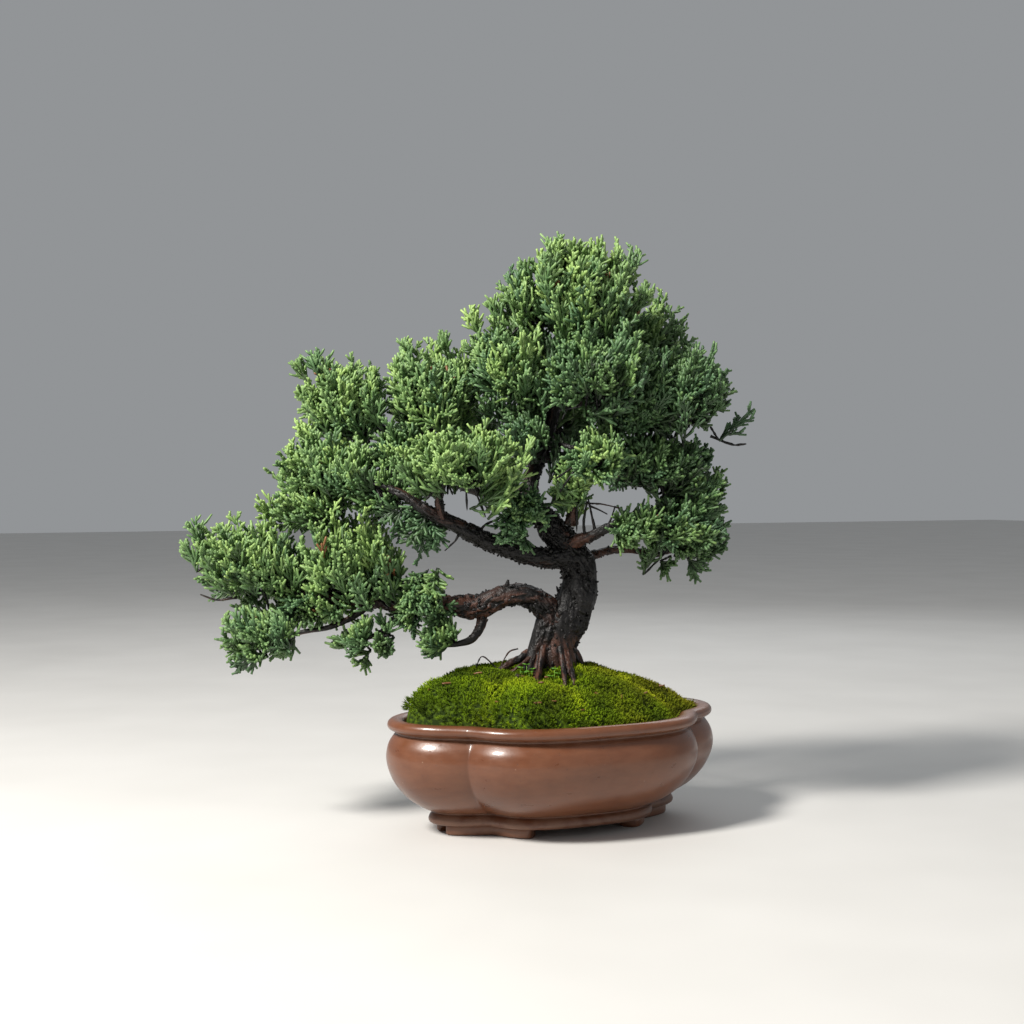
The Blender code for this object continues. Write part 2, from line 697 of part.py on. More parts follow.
def main():
    """Build every part of the plant and its pot."""
    clear_scene()
    home = new_collection("bonsai_tree_in_pot")
    cutters = new_collection("cutters")
    clay = material("stoneware", (0.20, 0.075, 0.035), 0.35)
    mesh_plastic = material("mesh_plastic", (0.03, 0.03, 0.03), 0.5)
    wire = material("aluminium_wire", (0.55, 0.45, 0.38), 0.4, 1.0)
    grit = material("grit", (0.42, 0.36, 0.28), 0.95)
    earth = material("earth", (0.10, 0.06, 0.035), 0.95)
    moss_green = material("moss", (0.14, 0.22, 0.02), 0.95)
    bark = material("bark", (0.07, 0.035, 0.025), 0.8)
    needles = material("foliage", (0.10, 0.22, 0.08), 0.6)

    build_pot(home, cutters, clay)
    for side, place in ((-1, "left"), (1, "right")):
        build_screen("drain_screen_" + place, side, home, mesh_plastic)
        build_clip("screen_clip_" + place, side, home, wire)
    build_drainage(home, cutters, grit)
    soil = build_soil(home, earth)
    moss = build_moss(home, moss_green)

    stand = bpy.data.objects.new("stand_frame", None)
    tree = bpy.data.objects.new("tree_frame", None)
    tree.rotation_euler.z = TREE_TURN
    for frame in (stand, tree):
        home.objects.link(frame)

    trunk = build_trunk(home, bark)
    trunk_cutter = hide_cutter(build_trunk(cutters, None, GAP + 0.05))
    for obj in (trunk, trunk_cutter):
        obj.parent = tree
    for bed in (soil, moss):
        boolean(bed, trunk_cutter)

    limb_cutters = {}
    for name in LIMBS:
        limb = build_limb(name, home, bark)
        limb_cutters[name] = hide_cutter(build_limb(name, cutters, None, GAP + 0.05))
        for obj in (limb, limb_cutters[name]):
            obj.parent = tree
        parent = GROWS_FROM.get(name)
        boolean(limb, limb_cutters[parent] if parent else trunk_cutter)

    pad_cutters = {}
    for seed, name in enumerate(FOLIAGE):
        pad = build_foliage(name, seed, home, needles)
        pad.parent = tree
        for other, cutter in pad_cutters.items():
            if pads_meet(name, other):
                boolean(pad, cutter)
        pad_cutters[name] = hide_cutter(build_foliage(name, seed, cutters, None, PAD_GAP))
        pad_cutters[name].parent = tree
        if near(TRUNK, name):
            boolean(pad, trunk_cutter)
        for limb_name, points in LIMBS.items():
            if near(points, name):
                boolean(pad, limb_cutters[limb_name])

    tree.parent = stand
    for obj in list(home.objects) + list(cutters.objects):
        if obj.parent is None and obj is not stand:
            obj.parent = stand
    centre_on_floor([obj for obj in home.objects if obj.type == "MESH"], stand)


main()
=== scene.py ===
"""A juniper bonsai in a four-lobed stoneware pot, finished for close viewing.

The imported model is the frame. Every piece here stands where its solid stands:
the pot, the moss, the wood and the foliage are rebuilt in detail, each riding
on the frame's one body and replacing its plain solid.
"""

from __future__ import annotations

import itertools
import json
import logging
import math
from dataclasses import dataclass, field
from enum import Enum
from typing import Any, ClassVar, Iterable, Sequence

import bpy
import numpy as np
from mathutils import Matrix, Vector

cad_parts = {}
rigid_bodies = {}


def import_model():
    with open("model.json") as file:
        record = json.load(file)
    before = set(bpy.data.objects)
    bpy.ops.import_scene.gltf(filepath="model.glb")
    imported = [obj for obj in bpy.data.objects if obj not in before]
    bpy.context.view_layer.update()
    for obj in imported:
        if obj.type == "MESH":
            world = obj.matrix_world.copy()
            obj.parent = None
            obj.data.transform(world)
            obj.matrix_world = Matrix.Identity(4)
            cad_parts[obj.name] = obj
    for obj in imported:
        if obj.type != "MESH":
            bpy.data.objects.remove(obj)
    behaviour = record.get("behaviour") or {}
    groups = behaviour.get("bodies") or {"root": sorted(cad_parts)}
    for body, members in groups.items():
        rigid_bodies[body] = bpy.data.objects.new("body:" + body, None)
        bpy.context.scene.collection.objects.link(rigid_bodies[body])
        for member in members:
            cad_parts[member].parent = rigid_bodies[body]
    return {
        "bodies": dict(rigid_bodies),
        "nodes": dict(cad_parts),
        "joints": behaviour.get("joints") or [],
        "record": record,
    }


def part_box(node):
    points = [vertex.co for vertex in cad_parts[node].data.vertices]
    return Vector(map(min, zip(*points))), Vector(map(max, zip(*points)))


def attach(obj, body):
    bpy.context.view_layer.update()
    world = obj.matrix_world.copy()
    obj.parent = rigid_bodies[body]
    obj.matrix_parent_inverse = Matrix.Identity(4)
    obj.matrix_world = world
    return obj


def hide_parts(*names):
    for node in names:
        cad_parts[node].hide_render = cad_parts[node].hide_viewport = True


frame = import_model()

log = logging.getLogger("bonsai")

MM = 0.001
TREE_TURN = math.radians(-26.2)
BODY = "root"
Row = tuple[float, ...]
Colour = tuple[float, float, float]


# ---------------------------------------------------------------- shader maths
class Value:
    """A number socket that takes part in Python expressions."""

    def __init__(self, graph: "Graph", socket: bpy.types.NodeSocket) -> None:
        """Wrap a socket.

        Args:
            graph: The graph that the socket belongs to.
            socket: The output socket.
        """
        self.graph = graph
        self.socket = socket

    def _math(self, operation: str, first: Any, second: Any) -> "Value":
        """One Math node.

        Args:
            operation: The node's operation.
            first: A value or a number.
            second: A value or a number.

        Returns:
            The result as a value.
        """
        made = self.graph.node("ShaderNodeMath", {"operation": operation}, {0: first, 1: second})
        return Value(self.graph, made.outputs[0])

    def __add__(self, other: Any) -> "Value":
        """Sum."""
        return self._math("ADD", self, other)

    __radd__ = __add__

    def __mul__(self, other: Any) -> "Value":
        """Product."""
        return self._math("MULTIPLY", self, other)

    __rmul__ = __mul__

    def __sub__(self, other: Any) -> "Value":
        """Difference."""
        return self._math("SUBTRACT", self, other)

    def __rsub__(self, other: Any) -> "Value":
        """Difference from a number."""
        return self._math("SUBTRACT", other, self)

    def above(self, edge: float, soft: float) -> "Value":
        """A mask that rises from 0 to 1 about an edge.

        Args:
            edge: The value at the middle of the rise.
            soft: Half the width of the rise.

        Returns:
            The mask.
        """
        settings = {"interpolation_type": "SMOOTHSTEP"}
        made = self.graph.node("ShaderNodeMapRange", settings, {0: self, 1: edge - soft, 2: edge + soft})
        return Value(self.graph, made.outputs[0])


class Graph:
    """The node graph of one material."""

    noise_roughness = 0.55

    def __init__(self, name: str) -> None:
        """Start a material with one Principled shader.

        Args:
            name: The material's name.
        """
        self.material = bpy.data.materials.new(name)
        self.material.use_nodes = True
        self.tree = self.material.node_tree
        self.shader = self.tree.nodes["Principled BSDF"]

    def put(self, socket: bpy.types.NodeSocket, content: Any) -> None:
        """Link or set one input socket.

        Args:
            socket: The input socket.
            content: A value, a socket, or a constant.
        """
        if isinstance(content, Value):
            content = content.socket
        if isinstance(content, bpy.types.NodeSocket):
            self.tree.links.new(content, socket)
        elif isinstance(content, (tuple, list)) and len(content) == 3 and socket.type == "RGBA":
            socket.default_value = (*content, 1.0)
        else:
            socket.default_value = content

    def node(self, kind: str, settings: dict[str, Any], sockets: dict[Any, Any]) -> bpy.types.Node:
        """Add any node.

        Args:
            kind: The node's type name.
            settings: Its properties, set first; "stops" are a ramp's stops.
            sockets: Its inputs by name or number, as values or links.

        Returns:
            The node.
        """
        made = self.tree.nodes.new(kind)
        for name, setting in settings.items():
            if name == "stops":
                self._stops(made.color_ramp, setting)
            else:
                setattr(made, name, setting)
        for key, content in sockets.items():
            self.put(made.inputs[key], content)
        return made

    @staticmethod
    def _stops(ramp: bpy.types.ColorRamp, stops: Sequence[tuple[float, Colour]]) -> None:
        """Fill a colour ramp.

        Args:
            ramp: The ramp.
            stops: Positions and colours, in order.
        """
        while len(ramp.elements) < len(stops):
            ramp.elements.new(1.0)
        for element, (position, colour) in zip(ramp.elements, stops):
            element.position = position
            element.color = (*colour, 1.0)

    def places(self) -> bpy.types.NodeSocket:
        """Object coordinates, in metres."""
        return self.node("ShaderNodeTexCoord", {}, {}).outputs["Object"]

    def stretched(self, scale: Row) -> bpy.types.NodeSocket:
        """Object coordinates times a scale.

        Args:
            scale: The factors along X, Y and Z.

        Returns:
            The vector socket.
        """
        sockets = {0: self.places(), 1: scale}
        return self.node("ShaderNodeVectorMath", {"operation": "MULTIPLY"}, sockets).outputs[0]

    def noise(self, size_mm: float, detail: float = 3.0, vector: Any = None) -> Value:
        """Cloudy variation, 0 to 1.

        Args:
            size_mm: The size of one blotch.
            detail: How many finer layers it has.
            vector: Its coordinates, or None for the object's own.

        Returns:
            The value.
        """
        sockets = {
            "Vector": vector or self.places(), "Scale": 1.0 / (size_mm * MM),
            "Detail": detail, "Roughness": self.noise_roughness,
        }
        return Value(self, self.node("ShaderNodeTexNoise", {}, sockets).outputs["Fac"])

    def cells(self, size_mm: float, vector: Any = None) -> Value:
        """Distance to scattered points, for grains and specks.

        Args:
            size_mm: The distance between points.
            vector: Its coordinates, or None for the object's own.

        Returns:
            The value.
        """
        sockets = {"Vector": vector or self.places(), "Scale": 1.0 / (size_mm * MM)}
        return Value(self, self.node("ShaderNodeTexVoronoi", {}, sockets).outputs["Distance"])

    def attribute(self, name: str) -> Value:
        """A number stored on the mesh.

        Args:
            name: The attribute's name.

        Returns:
            The value.
        """
        return Value(self, self.node("ShaderNodeAttribute", {"attribute_name": name}, {}).outputs["Fac"])

    def ramp(self, value: Any, stops: Sequence[tuple[float, Colour]]) -> bpy.types.NodeSocket:
        """Turn a value into a colour.

        Args:
            value: The value.
            stops: Positions and colours.

        Returns:
            The colour socket.
        """
        return self.node("ShaderNodeValToRGB", {"stops": stops}, {0: value}).outputs["Color"]

    def mix(self, factor: Any, first: Any, second: Any) -> bpy.types.NodeSocket:
        """Mix two colours.

        Args:
            factor: How much of the second.
            first: A colour or a socket.
            second: A colour or a socket.

        Returns:
            The colour socket.
        """
        sockets = {0: factor, 6: first, 7: second}
        return self.node("ShaderNodeMix", {"data_type": "RGBA"}, sockets).outputs[2]

    def bump(self, height: Any, depth_mm: float) -> bpy.types.NodeSocket:
        """Relief that the shader's Normal takes.

        Args:
            height: The height as a value, 0 to 1.
            depth_mm: How deep the relief is.

        Returns:
            The normal socket.
        """
        sockets = {"Strength": 1.0, "Distance": depth_mm * MM, "Height": height}
        return self.node("ShaderNodeBump", {}, sockets).outputs["Normal"]

    def finish(self, **sockets: Any) -> bpy.types.Material:
        """Fill the shader's sockets.

        Args:
            sockets: Values by socket name, with _ for a space.

        Returns:
            The material.
        """
        for name, content in sockets.items():
            self.put(self.shader.inputs[name.replace("_", " ").title().replace("Ior", "IOR")], content)
        return self.material


# ------------------------------------------------------------------- geometry
class Frame:
    """The tree's own frame: millimetres across, away and up, turned in the pot."""

    def __init__(self) -> None:
        """Find the pot's middle, which both frames share."""
        low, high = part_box("pot")
        self.middle = np.array(((low + high) / 2)[:]) * (1, 1, 0)
        cosine, sine = math.cos(TREE_TURN), math.sin(TREE_TURN)
        self.turn = np.array(((cosine, sine, 0), (-sine, cosine, 0), (0, 0, 1)))

    def to_world(self, points: np.ndarray) -> np.ndarray:
        """From the tree's frame to metres in the model's."""
        return points @ self.turn * MM + self.middle

    def from_world(self, points: np.ndarray) -> np.ndarray:
        """From metres in the model's frame to the tree's."""
        return (points - self.middle) / MM @ self.turn.T

    def pot_to_world(self, points: np.ndarray) -> np.ndarray:
        """From millimetres in the pot's frame to metres in the model's."""
        return points * MM + self.middle


def lattice(cells: np.ndarray, seed: int) -> np.ndarray:
    """A steady random number for each lattice cell.

    Args:
        cells: Whole numbers, (n, 3).
        seed: Picks the pattern.

    Returns:
        Numbers from -1 to 1.
    """
    x, y, z = (cells[..., i].astype(np.uint64) for i in range(3))
    mixed = x * np.uint64(73856093) ^ y * np.uint64(19349663) ^ z * np.uint64(83492791)
    mixed = (mixed ^ np.uint64(seed * 2654435761)) * np.uint64(6364136223846793005)
    return (mixed >> np.uint64(40)).astype(float) / float(1 << 23) - 1.0


def cloud(points: np.ndarray, seed: int, octaves: int = 1) -> np.ndarray:
    """Smooth random relief in space.

    Args:
        points: Places, (..., 3); one unit is one blotch.
        seed: Picks the pattern.
        octaves: Layers, each twice as fine and half as strong.

    Returns:
        Heights of about -1 to 1.
    """
    total, strength = np.zeros(points.shape[:-1]), 1.0
    for octave in range(octaves):
        scaled = points * 2.0**octave + 31.7 * octave + 4096.0
        base = np.floor(scaled)
        part = scaled - base
        part = part * part * (3 - 2 * part)
        for corner in itertools.product((0, 1), repeat=3):
            weight = np.prod(np.where(corner, part, 1 - part), axis=-1)
            total += strength * weight * lattice(base + np.array(corner), seed + octave)
        strength *= 0.5
    return total


def unit(vectors: np.ndarray) -> np.ndarray:
    """Vectors of length one."""
    return vectors / np.maximum(np.linalg.norm(vectors, axis=-1, keepdims=True), 1e-9)


def smooth_path(rows: Iterable[Row], spacing: float) -> np.ndarray:
    """An even line through given points.

    Args:
        rows: Points, each with any further numbers such as its radius.
        spacing: The distance between the line's points.

    Returns:
        The line, one row for each point.
    """
    knots = np.array(list(rows), float)
    padded = np.vstack((2 * knots[0] - knots[1], knots, 2 * knots[-1] - knots[-2]))
    share = np.linspace(0, 1, 16, endpoint=False)[:, None]
    spans = []
    for before, start, end, after in zip(padded, padded[1:], padded[2:], padded[3:]):
        lean = end - before, after - start
        curve = 2 * start + lean[0] * share
        curve = curve + (3 * (end - start) * 2 - 2 * lean[0] - lean[1]) * share**2
        curve = curve + (lean[0] + lean[1] - 4 * (end - start)) * share**3
        spans.append(curve / 2)
    line = np.vstack((*spans, knots[-1:]))
    steps = np.linalg.norm(np.diff(line[:, :3], axis=0), axis=1)
    along = np.concatenate(((0.0,), np.cumsum(steps)))
    places = np.linspace(0, along[-1], max(4, int(along[-1] / spacing)))
    return np.stack([np.interp(places, along, column) for column in line.T], axis=1)


def carried_frames(line: np.ndarray) -> tuple[np.ndarray, np.ndarray]:
    """Two side directions at each point of a line, without twist.

    Args:
        line: Points, (n, 3).

    Returns:
        The two sets of directions.
    """
    along = unit(np.gradient(line, axis=0))
    side = np.cross(along[0], (0.3, 0.9, 0.2))
    sides = []
    for direction in along:
        side = side - direction * np.dot(side, direction)
        side = side / np.linalg.norm(side)
        sides.append(side)
    first = np.array(sides)
    return first, np.cross(along, first)


@dataclass
class Shape:
    """Points and faces in one frame, with numbers kept for each point."""

    points: list[np.ndarray] = field(default_factory=list)
    faces: list[np.ndarray] = field(default_factory=list)
    corners: list[np.ndarray] = field(default_factory=list)
    numbers: dict[str, list[np.ndarray]] = field(default_factory=dict)
    count: int = 0

    def add(self, points: np.ndarray, faces: np.ndarray, corners: np.ndarray, **numbers: np.ndarray) -> None:
        """Add one lot of geometry.

        Args:
            points: (n, 3) places.
            faces: (m, 3) or (m, 4) point numbers, from 0.
            corners: (m, 3 or 4, 2) places on the finish's map.
            numbers: One (n,) array for each name.
        """
        self.points.append(points)
        self.faces.append(faces + self.count)
        self.corners.append(corners)
        for name, values in numbers.items():
            self.numbers.setdefault(name, []).append(values)
        self.count += len(points)

    def rename(self, **names: str) -> None:
        """Keep only some numbers, each under its new name."""
        self.numbers = {new: self.numbers[old] for new, old in names.items()}

    def build(self, name: str, material: bpy.types.Material, smooth: bool = True) -> bpy.types.Object:
        """Make the mesh object, in metres.

        Args:
            name: The piece's name.
            material: Its finish.
            smooth: Whether it is shaded smooth.

        Returns:
            The object.
        """
        points = np.vstack(self.points)
        widths = np.concatenate([np.full(len(f), f.shape[1]) for f in self.faces])
        loops = np.concatenate([f.ravel() for f in self.faces])
        mesh = bpy.data.meshes.new(name)
        mesh.vertices.add(len(points))
        mesh.vertices.foreach_set("co", points.astype(np.float32).ravel())
        mesh.loops.add(len(loops))
        mesh.loops.foreach_set("vertex_index", loops.astype(np.int32))
        mesh.polygons.add(len(widths))
        starts = np.concatenate(((0,), np.cumsum(widths)[:-1]))
        mesh.polygons.foreach_set("loop_start", starts.astype(np.int32))
        mesh.update(calc_edges=True)
        chart = mesh.uv_layers.new(name="OFBake")
        places = np.concatenate([c.reshape(-1, 2) for c in self.corners])
        chart.data.foreach_set("uv", places.astype(np.float32).ravel())
        for key, values in self.numbers.items():
            stored = mesh.attributes.new(key, "FLOAT", "POINT")
            stored.data.foreach_set("value", np.concatenate(values).astype(np.float32))
        mesh.polygons.foreach_set("use_smooth", np.full(len(widths), smooth))
        mesh.materials.append(material)
        mesh.validate()
        piece = bpy.data.objects.new(name, mesh)
        bpy.context.scene.collection.objects.link(piece)
        return piece


def settle(piece: bpy.types.Object, slot: str, *nodes: str) -> bpy.types.Object:
    """Tie a finished piece to the frame.

    Args:
        piece: The piece.
        slot: Not used.
        nodes: The solids it stands for.

    Returns:
        The piece.
    """
    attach(piece, BODY)
    if nodes:
        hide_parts(*nodes)
    log.info("%s: %d faces", piece.name, len(piece.data.polygons))
    return piece


def tube_faces(rows: int, sides: int) -> tuple[np.ndarray, np.ndarray]:
    """Faces and map places of a tube that is closed at both ends.

    Args:
        rows: How many rings it has.
        sides: Points in each ring; two tips follow the rings.

    Returns:
        Triangles and their map places.
    """
    corner = np.stack([grid.ravel() for grid in np.mgrid[-1:rows, :sides]], 1)
    over, up, both = corner + (0, 1), corner + (1, 0), corner + (1, 1)
    lower = np.stack((corner, over, both), 1)[sides:]
    upper = np.stack((corner, both, up), 1)[:-sides]
    level, side = np.moveaxis(np.concatenate((lower, upper)), -1, 0)
    tip = (level < 0) | (level == rows)
    faces = np.where(tip, rows * sides + (level > 0), level * sides + side % sides)
    across = np.where(tip, side.min(1, keepdims=True) + 0.5, side) / sides
    return faces, np.stack((across, (level + 1) / (rows + 1)), -1)


class CellMap:
    """A square finish map handed out in equal cells."""

    def __init__(self, count: int) -> None:
        """Divide the map.

        Args:
            count: How many cells are needed.
        """
        self.grid = math.ceil(math.sqrt(count))
        self.size = 0.9 / self.grid
        self.used = 0

    def take(self, count: int) -> np.ndarray:
        """The corners of the next cells.

        Args:
            count: How many.

        Returns:
            (count, 2) places.
        """
        index = np.arange(self.used, self.used + count)
        self.used += count
        return (np.stack((index % self.grid, index // self.grid), 1) + 0.05) / self.grid


# ------------------------------------------------------------------- finishes
@dataclass(frozen=True)
class Finish:
    """A finish that is made once and shared."""

    name: str

    def make(self) -> bpy.types.Material:
        """Build the material."""
        raise NotImplementedError


@dataclass(frozen=True)
class StonewareFinish(Finish):
    """Red-brown clay fired to a low satin gloss, dusted and nicked by use."""

    clay: Colour = (0.140, 0.047, 0.019)
    # Dark clay: a tone of the fired clay, and also the painted shade in the seams, under the belly and in the
    # groove under the rim.
    burnt_and_shade: Colour = (0.092, 0.029, 0.012)
    warm: Colour = (0.185, 0.066, 0.028)
    dust: Colour = (0.30, 0.19, 0.13)

    def make(self) -> bpy.types.Material:
        """Build the material.

        Returns:
            The material.
        """
        g = Graph(self.name)
        cloudy = g.noise(46.0, 4.0)
        streaks = g.noise(7.0, 4.0, g.stretched((1.0, 1.0, 3.2)))
        tone = cloudy * 0.65 + streaks * 0.35
        colour = g.ramp(tone, ((0.28, self.burnt_and_shade), (0.50, self.clay), (0.72, self.warm)))
        # Painted shade: the seams, the base and the groove under the rim are darkened towards the dark clay.
        colour = g.mix(g.attribute("recess") * 0.8, colour, self.burnt_and_shade)
        specks = 1 - g.cells(1.15).above(0.16, 0.05)
        chosen = g.noise(2.3, 1.0).above(0.58, 0.04)
        colour = g.mix(specks * chosen * 0.65, colour, (0.045, 0.018, 0.012))
        pale = 1 - g.cells(2.4, vector=g.stretched((1.1, 0.9, 1.0))).above(0.10, 0.03)
        nicks = pale * g.noise(9.0, 1.0).above(0.68, 0.02)
        colour = g.mix(nicks * 0.75, colour, self.dust)
        dusty = g.attribute("dust") * g.noise(6.0, 4.0).above(0.46, 0.14)
        colour = g.mix(dusty * 0.45, colour, self.dust)
        rough = 0.20 + streaks * 0.20 + dusty * 0.40
        relief = g.noise(1.1, 3.0) * 0.35 + streaks * 0.4 - specks * chosen * 0.5 - nicks * 0.5
        return g.finish(
            base_color=colour, roughness=rough, normal=g.bump(relief, 0.10),
            coat_weight=0.24 - dusty * 0.2, coat_roughness=0.10,
        )


@dataclass(frozen=True)
class MossFinish(Finish):
    """Moss shoots: bright new tips over dark, older stems."""

    deep: Colour = (0.016, 0.030, 0.003)
    green: Colour = (0.170, 0.275, 0.008)
    bright: Colour = (0.500, 0.640, 0.018)
    olive: Colour = (0.460, 0.390, 0.018)

    def make(self) -> bpy.types.Material:
        """Build the material.

        Returns:
            The material.
        """
        g = Graph(self.name)
        height = g.attribute("growth") + (g.noise(1.6, 2.0) - 0.5) * 0.5
        colour = g.ramp(height, ((0.05, self.deep), (0.5, self.green), (0.95, self.bright)))
        dull = g.attribute("tint").above(0.55, 0.45)
        colour = g.mix(dull * 0.8, colour, g.ramp(height, ((0.0, self.deep), (0.9, self.olive))))
        return g.finish(base_color=colour, roughness=0.85, specular_ior_level=0.15)


@dataclass(frozen=True)
class BarkFinish(Finish):
    """Juniper bark: near-black fibres and crust, red where it has peeled."""

    groove: Colour = (0.0022, 0.0017, 0.0018)
    brown: Colour = (0.0040, 0.0032, 0.0034)
    grey: Colour = (0.0125, 0.0115, 0.0120)
    dull_red: Colour = (0.012, 0.0050, 0.0040)
    red: Colour = (0.090, 0.035, 0.021)

    def make(self) -> bpy.types.Material:
        """Build the material.

        Returns:
            The material.
        """
        g = Graph(self.name)
        fibre, relief = g.attribute("fibre"), g.attribute("relief")
        fine = g.noise(0.9, 4.0)
        tone = relief * 0.55 + fibre * 0.35 + fine * 0.4 - 0.12
        colour = g.ramp(tone, ((0.25, self.groove), (0.55, self.brown), (0.95, self.grey)))
        peeled = g.attribute("peeled") * (g.noise(5.0, 3.0) + fibre * 0.3).above(0.56, 0.10)
        stripes = fine * 0.5 + fibre * 0.5 + relief * 0.3
        colour = g.mix(peeled * 0.9, colour, g.ramp(stripes, ((0.35, self.dull_red), (0.85, self.red))))
        rough = 0.34 + g.noise(3.0, 2.0) * 0.3
        return g.finish(
            base_color=colour, roughness=rough, specular_ior_level=0.38,
            normal=g.bump(fine + g.cells(0.7) * 0.5, 0.26),
        )


@dataclass(frozen=True)
class FoliageFinish(Finish):
    """Scale leaves: blue-green below, yellow-green at the growing tips."""

    # Near-black at the spray bases: older foliage, and painted shade deep inside the masses.
    inner: Colour = (0.006, 0.014, 0.005)
    leaf: Colour = (0.100, 0.190, 0.052)
    tip: Colour = (0.330, 0.480, 0.135)
    blue: Colour = (0.060, 0.140, 0.066)
    dead: Colour = (0.250, 0.108, 0.036)

    def make(self) -> bpy.types.Material:
        """Build the material.

        Returns:
            The material.
        """
        g = Graph(self.name)
        mottled = g.noise(2.2, 3.0)
        growth = g.attribute("growth") + (mottled - 0.5) * 0.35
        tint = g.attribute("tint")
        colour = g.ramp(growth, ((0.05, self.inner), (0.45, self.leaf), (0.95, self.tip)))
        bluish = g.ramp(growth, ((0.05, self.inner), (0.5, self.blue), (1.0, (0.165, 0.300, 0.135))))
        colour = g.mix(tint.above(0.5, 0.5) * 0.8, colour, bluish)
        colour = g.mix(g.attribute("dead"), colour, g.mix(mottled, self.dead, (0.12, 0.05, 0.02)))
        return g.finish(base_color=colour, roughness=0.48)


@dataclass(frozen=True)
class GrainFinish(Finish):
    """A loose, rough material in two tones, such as soil or pumice."""

    dark: Colour
    pale: Colour
    grain_mm: float

    def make(self) -> bpy.types.Material:
        """Build the material.

        Returns:
            The material.
        """
        g = Graph(self.name)
        grains = g.cells(self.grain_mm)
        tone = grains * 0.6 + g.noise(self.grain_mm * 3, 4.0) * 0.5
        colour = g.ramp(tone, ((0.2, self.dark), (0.75, self.pale)))
        return g.finish(base_color=colour, roughness=0.95, normal=g.bump(1 - grains, self.grain_mm * 0.5))


@dataclass(frozen=True)
class FittingFinish(Finish):
    """A plain fitting, dulled by handling and earth."""

    colour: Colour
    metallic: float
    roughness: float

    def make(self) -> bpy.types.Material:
        """Build the material.

        Returns:
            The material.
        """
        g = Graph(self.name)
        dirt = g.noise(3.0, 4.0).above(0.56, 0.12)
        colour = g.mix(dirt * 0.6, self.colour, (0.08, 0.05, 0.03))
        scratches = g.noise(0.6, 2.0, g.stretched((4.0, 1.0, 1.0)))
        return g.finish(
            base_color=colour, metallic=self.metallic,
            roughness=dirt * 0.3 + self.roughness, normal=g.bump(scratches, 0.02),
        )


@dataclass(frozen=True)
class FloorFinish(Finish):
    """A pale matt floor."""

    def make(self) -> bpy.types.Material:
        """Build the material.

        Returns:
            The material.
        """
        g = Graph(self.name)
        colour = g.ramp(g.noise(90.0, 2.0), ((0.3, (0.62, 0.61, 0.59)), (0.7, (0.66, 0.65, 0.63))))
        return g.finish(base_color=colour, roughness=0.75)


